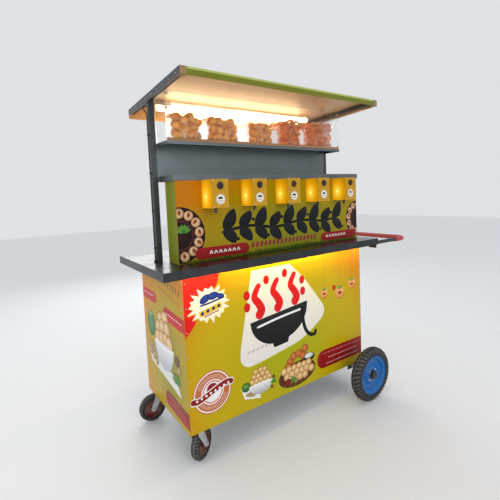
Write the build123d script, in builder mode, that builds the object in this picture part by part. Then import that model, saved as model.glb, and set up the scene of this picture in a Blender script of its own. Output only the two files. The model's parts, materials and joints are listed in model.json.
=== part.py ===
"""A push vending cart for filled snacks served with flavoured water.

A sheet-clad cabinet on an angle-iron frame carries a steel counter, a shallow
dispenser housing with five spouts, a display shelf behind clear sheets and a
nearly flat roof on two posts. It rolls on two big wheels and two swivel casters.
X runs along the cart towards the push handle, Y from the customer to the seller,
Z is up. The origin is on the ground, under the middle of the cart.
"""

import math
import os

from build123d import *

# ---------------------------------------------------------------- driving sizes
# cabinet
cabinet_length = 1200.0
cabinet_depth = 545.0
skirt_height = 174.0  # lower edge of the cladding above the ground
panel_sheet = 1.2
angle_leg = 30.0
angle_wall = 3.0
frame_height = 190.0  # underside of the base frame
mid_shelf_height = 560.0
mid_shelf_lip = 20.0

# counter
counter_height = 952.0
counter_sheet = 1.5
counter_fascia = 39.0
counter_end_overhang = 107.0
counter_front_overhang = 62.0
counter_back_overhang = 33.0
hose_hole_radius = 6.0

# dispenser housing and its ledge
housing_left = 21.0  # from the cabinet's left side
housing_length = 1243.0
housing_front = 67.0  # from the cabinet's front
housing_depth = 115.0
ledge_height = 1363.0
ledge_lip = 27.0
ledge_end_overhang = 10.0
ledge_front_overhang = 3.0
sheet = 1.5

# dispensers
dispenser_count = 5
dispenser_pitch = 223.0
dispenser_width = 86.0
dispenser_depth = 102.0
dispenser_drop = 132.0  # height of each box
button_height = 102.0  # button's axis above the box's underside
button_cap_radius = 13.0
button_cap_thickness = 4.5
button_stem_radius = 9.4
button_travel = 3.0
running_clearance = 0.05
nozzle_radius = 6.0
nozzle_bore = 4.0
nozzle_drop = 24.0
nozzle_flange_radius = 11.0
hose_radius = 4.0
hose_bore = 2.5
hose_bend = 24.0
hose_height = 1262.0

# flavour tanks, pumps and power
tank_width = 190.0
tank_depth = 260.0
tank_height = 210.0
tank_wall = 2.5
tank_front = 60.0
lid_thickness = 6.0
lid_skirt = 12.0
lid_clearance = 0.4
pump_radius = 22.0
pump_height = 42.0
pump_spigot = 9.0
power_box_size = (190.0, 130.0, 160.0)
power_box_place = (60.0, 90.0)
switch_length = 32.0
switch_height = 22.0
switch_depth = 9.0
switch_wall = 2.0
rocker_gap = 0.5
rocker_pivot_radius = 2.0

# posts, back panel, display shelf
post_size = 25.0
post_wall = 1.5
post_left = -23.5  # outer face of the left post, from the cabinet's left side
post_span = 1178.5  # over both posts
post_front = 216.0
shelf_height = 1519.0
shelf_left = 5.0
shelf_length = 1140.0
shelf_front = 93.0
shelf_lip = 15.0
acrylic_height = 224.0
acrylic_sheet = 3.0

# snack bags
bag_gap = 0.3
bag_depth = 92.0
bag_corner = 16.0
bag_row = 1134.0  # clear row that the places and widths below are given for
puri_bags = ((15.0, 205.0, 190.0), (228.0, 196.0, 182.0), (452.0, 176.0, 176.0))
ring_bags = ((640.0, 200.0, 190.0), (885.0, 215.0, 196.0))

# roof
roof_left = -29.0
roof_length = 1213.0
roof_front = -156.0
roof_depth = 664.0
roof_height = 1766.0  # top of the front edge
roof_fall = 30.0
roof_lip = 33.0
roof_back_lip = 48.0
fascia_thickness = 2.0
bearer_size = 22.0
lamp_radius = 13.0
lamp_length = 900.0
lamp_from_front = 470.0
fitting_width = 44.0
fitting_height = 18.0
lamp_holder = 12.0
cable_radius = 3.0
cable_bend = 30.0
grommet_radius = 7.0

# push handle
handle_reach = 350.0  # counter's end to the cross tube's axis
handle_tube = 25.0
handle_wall = 1.6
handle_outset = 19.0  # arm's axis outside the cabinet's front and back
handle_height = 917.0
handle_bend = 45.0
handle_flange = 56.0
handle_flange_sheet = 4.0
grip_thickness = 3.0
grip_clearance = 0.1
grip_arm_run = 110.0

# big wheels on a fixed axle
wheel_radius = 159.0
wheel_width = 58.0
wheel_place = 1120.0  # axle from the cabinet's left side
wheel_standoff = 158.0  # tyre's outer side from the cabinet's face
rim_radius = 113.0
bead_radius = 101.6
rim_sheet = 2.5
tyre_wall = 6.0
hub_radius = 24.0
hub_outer = 163.0
hub_inner = 92.0
hub_cap = 5.0
axle_radius = 10.0
axle_bracket_wall = 8.0
axle_bracket_width = 60.0
axle_bracket_inset = 12.0

# swivel casters
caster_inset_x = 45.0
caster_inset_y = 40.0
caster_plate_size = (86.0, 76.0)
caster_plate_sheet = 4.0
caster_bolt_spacing = (66.0, 54.0)
caster_bolt_radius = 4.0
caster_hole_radius = 4.5
caster_radius = 75.0
caster_width = 42.0
caster_rim_radius = 50.0
caster_rim_width = 34.0
caster_trail = 45.0
caster_leg_wall = 4.0
caster_leg_gap = 25.0  # wheel's middle to the leg's inner face
caster_race_radius = 24.0
caster_race_height = 7.7
caster_crown_radius = 31.0
caster_crown_sheet = 8.0
kingpin_radius = 6.0
kingpin_head = 11.0
front_caster_turn = 33.0
back_caster_turn = 176.0

# sliding doors at the seller's side
door_sheet = 6.0
door_groove = 8.0
track_wall = 1.5
track_height = 12.0
door_overlap = 24.0
door_end_gap = 4.0
door_lift_gap = 3.0
door_cup_radius = 20.0
door_cup_depth = 3.5

touch_gap = 0.3

# ------------------------------------------------------------- derived places
handle_end = handle_reach + handle_tube / 2 + grip_clearance + grip_thickness
overall_length = 2 * counter_end_overhang + cabinet_length + handle_end
x0 = counter_end_overhang - overall_length / 2  # cabinet's left side
x1 = x0 + cabinet_length
y0 = -cabinet_depth / 2  # cabinet's front
y1 = y0 + cabinet_depth

counter_under = counter_height - counter_sheet
frame_top = frame_height + angle_leg
housing_x0 = x0 + housing_left
housing_x1 = housing_x0 + housing_length
housing_y0 = y0 + housing_front
housing_y1 = housing_y0 + housing_depth
ledge_under = ledge_height - sheet
post_y0 = y0 + post_front
post_y1 = post_y0 + post_size
post_x0 = x0 + post_left
post_x1 = post_x0 + post_span
box_top = ledge_height - ledge_lip
box_bottom = box_top - dispenser_drop
box_y0 = housing_y0 - dispenser_depth
box_middle_y = (box_y0 + housing_y0) / 2
housing_middle_x = (housing_x0 + housing_x1) / 2
dispenser_xs = [
    housing_middle_x + (i - (dispenser_count - 1) / 2) * dispenser_pitch
    for i in range(dispenser_count)
]
hose_y = (housing_y0 + housing_y1) / 2
shelf_x0 = x0 + shelf_left
shelf_x1 = shelf_x0 + shelf_length
shelf_y0 = y0 + shelf_front
shelf_under = shelf_height - sheet
mid_shelf_top = mid_shelf_height + panel_sheet
axle_x = x0 + wheel_place
axle_z = wheel_radius

os.makedirs("parts", exist_ok=True)


# --------------------------------------------------------------------- helpers
def block(low, high, mode=Mode.ADD):
    """Add or cut a box between two opposite corners."""
    size = [b - a for a, b in zip(low, high)]
    with Locations(low):
        Box(*size, align=(Align.MIN, Align.MIN, Align.MIN), mode=mode)


def rod(start, axis, radius, length, mode=Mode.ADD):
    """Add or cut a round bar that starts at a point and runs along an axis."""
    with Locations(Plane(origin=start, z_dir=axis)):
        Cylinder(radius, length, align=(Align.CENTER, Align.CENTER, Align.MIN), mode=mode)


def save(piece, name):
    """Label a finished piece and write it."""
    piece.part.label = name
    export_step(piece.part, f"parts/{name}.step")


# ------------------------------------------------------------ frame and panels
in_x0, in_x1 = x0 + panel_sheet, x1 - panel_sheet
in_y0, in_y1 = y0 + panel_sheet, y1 - panel_sheet
caster_spots = [
    (x0 + caster_inset_x, y0 + caster_inset_y),
    (x0 + caster_inset_x, y1 - caster_inset_y),
]
caster_bolts = [
    (cx + sx * caster_bolt_spacing[0] / 2, cy + sy * caster_bolt_spacing[1] / 2)
    for cx, cy in caster_spots
    for sx in (-1, 1)
    for sy in (-1, 1)
]
pad_reach_x = caster_inset_x + caster_plate_size[0] / 2
pad_reach_y = caster_inset_y + caster_plate_size[1] / 2

with BuildPart() as base_frame:
    # a ring of angle iron, its level leg at the bottom
    block((in_x0, in_y0, frame_height), (in_x1, in_y1, frame_top))
    block(
        (in_x0 + angle_wall, in_y0 + angle_wall, frame_height + angle_wall),
        (in_x1 - angle_wall, in_y1 - angle_wall, frame_top),
        mode=Mode.SUBTRACT,
    )
    block(
        (in_x0 + angle_leg, in_y0 + angle_leg, frame_height),
        (in_x1 - angle_leg, in_y1 - angle_leg, frame_height + angle_wall),
        mode=Mode.SUBTRACT,
    )
    # caster pads in the two corners and a flat bar across the middle
    block((in_x0, in_y0, frame_height), (x0 + pad_reach_x, y0 + pad_reach_y, frame_height + angle_wall))
    block((in_x0, y1 - pad_reach_y, frame_height), (x0 + pad_reach_x, in_y1, frame_height + angle_wall))
    bar_x = (x0 + x1) / 2
    block(
        (bar_x - angle_leg / 2, in_y0 + angle_wall, frame_height),
        (bar_x + angle_leg / 2, in_y1 - angle_wall, frame_height + angle_wall),
    )
    for bx, by in caster_bolts:
        rod((bx, by, frame_height), (0, 0, 1), caster_hole_radius, angle_wall, mode=Mode.SUBTRACT)
    # two plates hang from the frame and hold the axle
    half_bracket = axle_bracket_width / 2
    for side in (-1, 1):
        faces = sorted(side * (y1 - axle_bracket_inset - t) for t in (0, axle_bracket_wall))
        block(
            (axle_x - half_bracket, faces[0], axle_z - 2 * axle_radius),
            (axle_x + half_bracket, faces[1], frame_height),
        )
        rod((axle_x, faces[0], axle_z), (0, 1, 0), axle_radius, axle_bracket_wall, mode=Mode.SUBTRACT)
save(base_frame, "base_frame")

with BuildPart() as upper_frame:
    # four angle uprights under a ring of angle iron with its level leg on top
    for ux, dx in ((in_x0, 1), (in_x1, -1)):
        for uy, dy in ((in_y0, 1), (in_y1, -1)):
            low_x, high_x = sorted((ux, ux + dx * angle_leg))
            low_y, high_y = sorted((uy, uy + dy * angle_leg))
            thin_x = sorted((ux, ux + dx * angle_wall))
            thin_y = sorted((uy, uy + dy * angle_wall))
            block((low_x, thin_y[0], frame_top), (high_x, thin_y[1], counter_under))
            block((thin_x[0], low_y, frame_top), (thin_x[1], high_y, counter_under))
    ring_low = counter_under - angle_leg
    block((in_x0, in_y0, ring_low), (in_x1, in_y0 + angle_wall, counter_under))
    block((in_x0, in_y1 - angle_wall, ring_low), (in_x1, in_y1, counter_under))
    block((in_x0, in_y0, ring_low), (in_x0 + angle_wall, in_y1, counter_under))
    block((in_x1 - angle_wall, in_y0, ring_low), (in_x1, in_y1, counter_under))
    leg_low = counter_under - angle_wall
    block((in_x0, in_y0, leg_low), (in_x1, in_y0 + angle_leg, counter_under))
    block((in_x0, in_y1 - angle_leg, leg_low), (in_x1, in_y1, counter_under))
    block((in_x0, in_y0, leg_low), (in_x0 + angle_leg, in_y1, counter_under))
    block((in_x1 - angle_leg, in_y0, leg_low), (in_x1, in_y1, counter_under))
save(upper_frame, "upper_frame")

with BuildPart() as front_panel:
    block((x0, y0, skirt_height), (x1, in_y0, counter_under))
save(front_panel, "front_panel")

with BuildPart() as left_panel:
    block((x0, in_y0, skirt_height), (in_x0, y1, counter_under))
save(left_panel, "left_panel")

with BuildPart() as right_panel:
    block((in_x1, in_y0, skirt_height), (x1, y1, counter_under))
save(right_panel, "right_panel")

floor_top = frame_top + panel_sheet
track_depth = 2 * door_groove + 3 * track_wall
track_y0 = in_y1 - angle_wall - track_depth
with BuildPart() as cabinet_floor:
    # notched round the uprights
    block((in_x0, in_y0, frame_top), (in_x1, in_y1, floor_top))
    for ux in (in_x0, in_x1 - angle_leg):
        for uy in (in_y0, in_y1 - angle_leg):
            block((ux, uy, frame_top), (ux + angle_leg, uy + angle_leg, floor_top), mode=Mode.SUBTRACT)
save(cabinet_floor, "cabinet_floor")

with BuildPart() as mid_shelf:
    # a tray turned down at the front and the back
    shelf_lo_y, shelf_hi_y = in_y0 + angle_leg + touch_gap, track_y0 - angle_leg
    block((in_x0, shelf_lo_y, mid_shelf_top - mid_shelf_lip), (in_x1, shelf_hi_y, mid_shelf_top))
    block(
        (in_x0, shelf_lo_y + panel_sheet, mid_shelf_top - mid_shelf_lip),
        (in_x1, shelf_hi_y - panel_sheet, mid_shelf_height),
        mode=Mode.SUBTRACT,
    )
save(mid_shelf, "mid_shelf")

# --------------------------------------------------------------------- counter
counter_x0, counter_x1 = x0 - counter_end_overhang, x1 + counter_end_overhang
counter_y0, counter_y1 = y0 - counter_front_overhang, y1 + counter_back_overhang
with BuildPart() as counter_top:
    # one sheet folded down all round
    block((counter_x0, counter_y0, counter_height - counter_fascia), (counter_x1, counter_y1, counter_height))
    block(
        (counter_x0 + counter_sheet, counter_y0 + counter_sheet, counter_height - counter_fascia),
        (counter_x1 - counter_sheet, counter_y1 - counter_sheet, counter_under),
        mode=Mode.SUBTRACT,
    )
    for dispenser_x in dispenser_xs:
        rod((dispenser_x, hose_y, counter_under), (0, 0, 1), hose_hole_radius, counter_sheet, mode=Mode.SUBTRACT)
save(counter_top, "counter_top")

strip_thickness = 4.0
strip_height = 12.0
strip_end_gap = 40.0
with BuildPart() as counter_light_strip:
    strip_y = counter_y0 + counter_sheet
    block(
        (counter_x0 + strip_end_gap, strip_y, counter_under - strip_height),
        (counter_x1 - strip_end_gap, strip_y + strip_thickness, counter_under),
    )
save(counter_light_strip, "counter_light_strip")

# ---------------------------------------------------------- dispenser housing
with BuildPart() as housing_front_sheet:
    # one sheet bent into a front and two cheeks
    block((housing_x0, housing_y0, counter_height), (housing_x1, housing_y1, ledge_under))
    block(
        (housing_x0 + sheet, housing_y0 + sheet, counter_height),
        (housing_x1 - sheet, housing_y1, ledge_under),
        mode=Mode.SUBTRACT,
    )
    for dispenser_x in dispenser_xs:
        rod((dispenser_x, housing_y0, hose_height), (0, 1, 0), hose_hole_radius, sheet, mode=Mode.SUBTRACT)
save(housing_front_sheet, "housing_front")

switch_x = housing_x1 - 140.0
switch_z = counter_height + 250.0
with BuildPart() as housing_back:
    back_y0 = housing_y1 - sheet
    block(
        (housing_x0 + sheet, back_y0, counter_height),
        (housing_x1 - sheet, housing_y1, ledge_under),
    )
save(housing_back, "housing_back")

with BuildPart() as dispenser_ledge:
    # a tray turned down on all four sides, over the housing
    ledge_x0, ledge_x1 = housing_x0 - ledge_end_overhang, housing_x1 + ledge_end_overhang
    ledge_y0 = housing_y0 - ledge_front_overhang
    block((ledge_x0, ledge_y0, box_top), (ledge_x1, post_y0, ledge_height))
    block(
        (ledge_x0 + sheet, ledge_y0 + sheet, box_top),
        (ledge_x1 - sheet, post_y0 - sheet, ledge_under),
        mode=Mode.SUBTRACT,
    )
save(dispenser_ledge, "dispenser_ledge")

button_z = box_bottom + button_height
with BuildPart() as dispenser_boxes:
    # five folded boxes, open at the back where the housing closes them
    for dispenser_x in dispenser_xs:
        left, right = dispenser_x - dispenser_width / 2, dispenser_x + dispenser_width / 2
        block((left, box_y0, box_bottom), (right, housing_y0, box_top))
        block(
            (left + sheet, box_y0 + sheet, box_bottom + sheet),
            (right - sheet, housing_y0, box_top - sheet),
            mode=Mode.SUBTRACT,
        )
        button_hole = button_stem_radius + running_clearance
        rod((dispenser_x, box_y0, button_z), (0, 1, 0), button_hole, sheet, mode=Mode.SUBTRACT)
        rod(
            (dispenser_x, box_middle_y, box_bottom), (0, 0, 1),
            nozzle_radius + running_clearance, sheet, mode=Mode.SUBTRACT,
        )
save(dispenser_boxes, "dispenser_boxes")

for number, dispenser_x in enumerate(dispenser_xs, 1):
    with BuildPart() as button:
        cap_back = box_y0 - button_travel - touch_gap
        rod((dispenser_x, cap_back, button_z), (0, -1, 0), button_cap_radius, button_cap_thickness)
        fillet(button.faces().sort_by(Axis.Y)[0].edges(), radius=button_cap_thickness / 3)
        stem = button_travel + touch_gap + sheet + 6.0
        rod((dispenser_x, cap_back, button_z), (0, 1, 0), button_stem_radius, stem)
    save(button, f"button_{number}")

nozzle_top = box_bottom + 20.0
with BuildPart() as nozzles:
    for dispenser_x in dispenser_xs:
        with BuildSketch(Plane.XZ.offset(-box_middle_y)):
            with BuildLine():
                tip = box_bottom - nozzle_drop
                Polyline(
                    (dispenser_x + nozzle_bore, tip),
                    (dispenser_x + nozzle_radius - 0.8, tip),
                    (dispenser_x + nozzle_radius, tip + 4.0),
                    (dispenser_x + nozzle_radius, box_bottom - 6.0),
                    (dispenser_x + nozzle_flange_radius, box_bottom - 3.0),
                    (dispenser_x + nozzle_flange_radius, box_bottom),
                    (dispenser_x + nozzle_radius, box_bottom),
                    (dispenser_x + nozzle_radius, nozzle_top),
                    (dispenser_x + nozzle_bore, nozzle_top),
                    close=True,
                )
            make_face()
        revolve(axis=Axis((dispenser_x, box_middle_y, 0), (0, 0, 1)))
save(nozzles, "nozzles")

# ------------------------------------------- tanks, pumps, hoses and the power
tank_y0 = y0 + tank_front
tank_y1 = tank_y0 + tank_depth
tank_top = mid_shelf_top + tank_height
lid_top = tank_top + lid_thickness
with BuildPart() as flavour_tanks:
    for dispenser_x in dispenser_xs:
        left, right = dispenser_x - tank_width / 2, dispenser_x + tank_width / 2
        block((left, tank_y0, mid_shelf_top), (right, tank_y1, tank_top))
        block(
            (left + tank_wall, tank_y0 + tank_wall, mid_shelf_top + tank_wall),
            (right - tank_wall, tank_y1 - tank_wall, tank_top),
            mode=Mode.SUBTRACT,
        )
save(flavour_tanks, "flavour_tanks")

with BuildPart() as tank_lids:
    # a flat lid with a plug that drops into the tank's mouth
    inset = tank_wall + lid_clearance
    for dispenser_x in dispenser_xs:
        left, right = dispenser_x - tank_width / 2, dispenser_x + tank_width / 2
        block((left, tank_y0, tank_top), (right, tank_y1, lid_top))
        block(
            (left + inset, tank_y0 + inset, tank_top - lid_skirt),
            (right - inset, tank_y1 - inset, tank_top),
        )
save(tank_lids, "tank_lids")

pump_top = lid_top + pump_height + pump_spigot
with BuildPart() as pumps:
    for dispenser_x in dispenser_xs:
        rod((dispenser_x, hose_y, lid_top), (0, 0, 1), pump_radius, pump_height)
        rod((dispenser_x, hose_y, lid_top + pump_height), (0, 0, 1), hose_radius, pump_spigot)
save(pumps, "pumps")

with BuildPart() as feed_hoses:
    # up from each pump, forward into its box and down onto the nozzle
    for dispenser_x in dispenser_xs:
        with BuildLine():
            route = FilletPolyline(
                (dispenser_x, hose_y, pump_top),
                (dispenser_x, hose_y, hose_height),
                (dispenser_x, box_middle_y, hose_height),
                (dispenser_x, box_middle_y, nozzle_top),
                radius=hose_bend,
            )
        with BuildSketch(Plane(origin=route @ 0, z_dir=route % 0)):
            Circle(hose_radius)
            Circle(hose_bore, mode=Mode.SUBTRACT)
        sweep(path=route)
save(feed_hoses, "feed_hoses")

with BuildPart() as power_box:
    place_x, place_y = x0 + power_box_place[0], y0 + power_box_place[1]
    size_x, size_y, size_z = power_box_size
    block((place_x, place_y, floor_top), (place_x + size_x, place_y + size_y, floor_top + size_z))
    fillet(power_box.edges().filter_by(Axis.Z), radius=8.0)
save(power_box, "power_box")

with BuildPart() as switch_body:
    # a shallow frame on the back cover; its cross pin carries the rocker
    block(
        (switch_x - switch_length / 2, housing_y1, switch_z - switch_height / 2),
        (switch_x + switch_length / 2, housing_y1 + switch_depth, switch_z + switch_height / 2),
    )
    block(
        (switch_x - switch_length / 2 + switch_wall, housing_y1 + switch_wall, switch_z - switch_height / 2 + switch_wall),
        (switch_x + switch_length / 2 - switch_wall, housing_y1 + switch_depth, switch_z + switch_height / 2 - switch_wall),
        mode=Mode.SUBTRACT,
    )
    pivot_y = housing_y1 + switch_depth - rocker_pivot_radius - 1.0
    rod(
        (switch_x - switch_length / 2 + switch_wall / 2, pivot_y, switch_z), (1, 0, 0),
        rocker_pivot_radius, switch_length - switch_wall,
    )
save(switch_body, "switch_body")

rocker_swing = 7.0  # degrees each way
with BuildPart() as power_switch:
    # a round-backed paddle whose bore turns on the cross pin
    half_height = switch_height / 2 - switch_wall - rocker_gap
    half_length = switch_length / 2 - switch_wall - rocker_gap
    with BuildSketch(Plane.YZ.offset(switch_x - half_length)):
        with BuildLine():
            Polyline(
                (pivot_y + 1.6, switch_z - half_height),
                (pivot_y + 3.4, switch_z - half_height),
                (pivot_y + 2.6, switch_z),
                (pivot_y + 3.4, switch_z + half_height),
                (pivot_y + 1.6, switch_z + half_height),
                (pivot_y - 3.4, switch_z + 1.5),
                (pivot_y - 3.4, switch_z - 1.5),
                close=True,
            )
        make_face()
    extrude(amount=2 * half_length)
    rod(
        (switch_x - half_length, pivot_y, switch_z), (1, 0, 0),
        rocker_pivot_radius + running_clearance, 2 * half_length, mode=Mode.SUBTRACT,
    )
save(power_switch, "power_switch")

# ------------------------------------------------------------------ roof plane
roof_y0 = y0 + roof_front
roof_slope = math.atan2(roof_fall, roof_depth)
roof_normal = (0, math.sin(roof_slope), math.cos(roof_slope))
roof_along = roof_depth / math.cos(roof_slope)
roof_x0 = x0 + roof_left
roof_x1 = roof_x0 + roof_length
roof_plane = Plane(origin=(roof_x0, roof_y0, roof_height), x_dir=(1, 0, 0), z_dir=roof_normal)


def roof_block(low, high, mode=Mode.ADD):
    """A box in the roof's own frame: along it, back from its front edge, and up."""
    size = [b - a for a, b in zip(low, high)]
    with Locations(roof_plane.location * Location(low)):
        Box(*size, align=(Align.MIN, Align.MIN, Align.MIN), mode=mode)


# ------------------------------------------------- posts, back panel and shelf
with BuildPart() as rear_posts:
    for left in (post_x0, post_x1 - post_size):
        with BuildSketch(Plane.XY.offset(counter_height)):
            with Locations((left + post_size / 2, post_y0 + post_size / 2)):
                Rectangle(post_size, post_size)
                Rectangle(post_size - 2 * post_wall, post_size - 2 * post_wall, mode=Mode.SUBTRACT)
        extrude(amount=roof_height - counter_height)
    split(bisect_by=roof_plane.offset(-sheet - bearer_size), keep=Keep.BOTTOM)
save(rear_posts, "rear_posts")

panel_flange = 20.0
with BuildPart() as back_panel:
    # fills the space between the posts from the ledge up to the shelf
    left, right = post_x0 + post_size, post_x1 - post_size
    low_z, high_z = box_top, shelf_under
    block((left, post_y0, low_z), (right, post_y0 + panel_flange, high_z))
    block(
        (left + panel_sheet, post_y0 + panel_sheet, low_z),
        (right - panel_sheet, post_y0 + panel_flange, high_z),
        mode=Mode.SUBTRACT,
    )
save(back_panel, "back_panel")

shelf_y1 = post_y0 + panel_sheet
with BuildPart() as upper_shelf:
    block((shelf_x0, shelf_y0, shelf_height - shelf_lip), (shelf_x1, shelf_y1, shelf_height))
    block(
        (shelf_x0 + sheet, shelf_y0 + sheet, shelf_height - shelf_lip),
        (shelf_x1 - sheet, shelf_y1, shelf_under),
        mode=Mode.SUBTRACT,
    )
    # clear of the posts, and level with the back panel's top edge
    block((shelf_x0, post_y0, shelf_height - shelf_lip), (shelf_x1, shelf_y1, shelf_under), mode=Mode.SUBTRACT)
    notch_low = shelf_height - shelf_lip
    for left in (post_x0, post_x1 - post_size):
        block((left, post_y0, notch_low), (left + post_size, shelf_y1, shelf_height), mode=Mode.SUBTRACT)
save(upper_shelf, "upper_shelf")

acrylic_top = shelf_height + acrylic_height
with BuildPart() as showcase:
    # a front and two sides of clear sheet, bonded at the corners
    block((shelf_x0, shelf_y0, shelf_height), (shelf_x1, post_y0, acrylic_top))
    block(
        (shelf_x0 + acrylic_sheet, shelf_y0 + acrylic_sheet, shelf_height),
        (shelf_x1 - acrylic_sheet, post_y0, acrylic_top),
        mode=Mode.SUBTRACT,
    )
save(showcase, "showcase")

bag_y0 = shelf_y0 + acrylic_sheet + 8.0
row_share = (shelf_length - 2 * acrylic_sheet) / bag_row
for group_name, group in (("puri_bags", puri_bags), ("ring_bags", ring_bags)):
    with BuildPart() as snack_bags:
        for offset, width, height in group:
            left = shelf_x0 + acrylic_sheet + offset * row_share
            block(
                (left, bag_y0, shelf_height + bag_gap),
                (left + width * row_share, bag_y0 + bag_depth, shelf_height + bag_gap + height),
            )
        fillet(snack_bags.edges(), radius=bag_corner)
    save(snack_bags, group_name)

# ------------------------------------------------------------------------ roof
with BuildPart() as roof_sheet:
    # a flat sheet with its sides and back turned down
    roof_block((0, 0, -sheet), (roof_length, roof_along, 0))
    roof_block((0, 0, -roof_lip), (sheet, roof_along, 0))
    roof_block((roof_length - sheet, 0, -roof_lip), (roof_length, roof_along, 0))
    roof_block((0, roof_along - sheet, -roof_back_lip), (roof_length, roof_along, 0))
save(roof_sheet, "roof_sheet")

with BuildPart() as roof_fascia:
    # a strip across the front edge, between the side lips
    roof_block((sheet, 0, -roof_lip), (roof_length - sheet, fascia_thickness, -sheet))
save(roof_fascia, "roof_fascia")

bearer_lefts = [
    post_x0 + (post_size - bearer_size) / 2,
    max(post_x1 - (post_size + bearer_size) / 2, shelf_x1 + 1.0),
]
with BuildPart() as roof_bearers:
    # square tubes under the sheet, front to back over the posts
    for left in bearer_lefts:
        at = left - roof_x0
        low_y, high_y = fascia_thickness, roof_along - sheet
        roof_block((at, low_y, -sheet - bearer_size), (at + bearer_size, high_y, -sheet))
        roof_block(
            (at + post_wall, low_y, -sheet - bearer_size + post_wall),
            (at + bearer_size - post_wall, high_y, -sheet - post_wall),
            mode=Mode.SUBTRACT,
        )
save(roof_bearers, "roof_bearers")

lamp_middle = roof_length / 2 - 20.0
with BuildPart() as light_fitting:
    # a batten under the sheet with a holder at each end
    half = lamp_length / 2 + lamp_holder
    low_y, high_y = lamp_from_front - fitting_width / 2, lamp_from_front + fitting_width / 2
    roof_block((lamp_middle - half, low_y, -sheet - fitting_height), (lamp_middle + half, high_y, -sheet))
    holder_low = -sheet - fitting_height - 2 * lamp_radius - 4.0
    for side in (-1, 1):
        ends = sorted((side * half, side * lamp_length / 2))
        roof_block(
            (lamp_middle + ends[0], lamp_from_front - 9.0, holder_low),
            (lamp_middle + ends[1], lamp_from_front + 9.0, -sheet - fitting_height),
        )
save(light_fitting, "light_fitting")

with BuildPart() as tube_light:
    with BuildSketch(Plane(
        origin=roof_plane.from_local_coords(
            Vector(lamp_middle - lamp_length / 2, lamp_from_front, -sheet - fitting_height - lamp_radius - 2.0)
        ),
        z_dir=(1, 0, 0),
    )):
        Circle(lamp_radius)
    extrude(amount=lamp_length)
save(tube_light, "tube_light")

cable_start = roof_plane.from_local_coords(
    Vector(lamp_middle - lamp_length / 2 - lamp_holder, lamp_from_front, -sheet - fitting_height / 2)
)
cable_x = post_x0 - grommet_radius - touch_gap
cable_y = post_y0 + post_size / 2
bearer_under = cable_start.Z - fitting_height / 2 - bearer_size
with BuildPart() as lamp_cable:
    # along the roof, under the bearer and down the left post into a grommet
    with BuildLine():
        cable_line = FilletPolyline(
            cable_start,
            (cable_start.X - 45.0, cable_start.Y, cable_start.Z),
            (cable_x, cable_start.Y - 24.0, bearer_under - 3.0),
            (cable_x, cable_y, bearer_under - 43.0),
            (cable_x, cable_y, counter_height),
            radius=cable_bend,
        )
    with BuildSketch(Plane(origin=cable_line @ 0, z_dir=cable_line % 0)):
        Circle(cable_radius)
    sweep(path=cable_line)
    rod((cable_x, cable_y, counter_height), (0, 0, 1), grommet_radius, 9.0)
save(lamp_cable, "lamp_cable")

# ----------------------------------------------------------------- push handle
cross_x = counter_x1 + handle_reach
arm_y0, arm_y1 = y0 - handle_outset, y1 + handle_outset
arm_start_x = counter_x1 + handle_flange_sheet
with BuildPart() as push_handle:
    # one bent tube with a plate welded to each end
    with BuildLine():
        handle_line = FilletPolyline(
            (arm_start_x, arm_y0, handle_height),
            (cross_x, arm_y0, handle_height),
            (cross_x, arm_y1, handle_height),
            (arm_start_x, arm_y1, handle_height),
            radius=handle_bend,
        )
    with BuildSketch(Plane(origin=handle_line @ 0, z_dir=handle_line % 0)):
        Circle(handle_tube / 2)
        Circle(handle_tube / 2 - handle_wall, mode=Mode.SUBTRACT)
    sweep(path=handle_line)
    for arm_y in (arm_y0, arm_y1):
        block(
            (counter_x1, arm_y - handle_flange / 2, handle_height - handle_flange / 2),
            (arm_start_x, arm_y + handle_flange / 2, handle_height + handle_flange / 2),
        )
save(push_handle, "push_handle")

with BuildPart() as handle_grip:
    # a sleeve over the cross tube, both bends and the ends of the arms
    with BuildLine():
        grip_line = FilletPolyline(
            (cross_x - grip_arm_run, arm_y0, handle_height),
            (cross_x, arm_y0, handle_height),
            (cross_x, arm_y1, handle_height),
            (cross_x - grip_arm_run, arm_y1, handle_height),
            radius=handle_bend,
        )
    with BuildSketch(Plane(origin=grip_line @ 0, z_dir=grip_line % 0)):
        Circle(handle_tube / 2 + grip_clearance + grip_thickness)
        Circle(handle_tube / 2 + grip_clearance, mode=Mode.SUBTRACT)
    sweep(path=grip_line)
save(handle_grip, "handle_grip")

# ------------------------------------------------------------ axle and wheels
axle_end = -y0 + hub_outer - hub_cap - touch_gap
with BuildPart() as axle:
    rod((axle_x, -axle_end, axle_z), (0, 1, 0), axle_radius, 2 * axle_end)
save(axle, "axle")


def wheel_ring(side, points):
    """Turn a closed outline round the axle. Points are (radius, distance out from the cabinet)."""
    with BuildSketch(Plane(origin=(axle_x, 0, axle_z), x_dir=(1, 0, 0), z_dir=(0, 0, side))) as outline:
        with BuildLine():
            Polyline(*[(radius, out - y0) for radius, out in points], close=True)
        make_face()
    revolve(outline.sketch, axis=Axis((axle_x, 0, axle_z), (0, 1, 0)))


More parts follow.
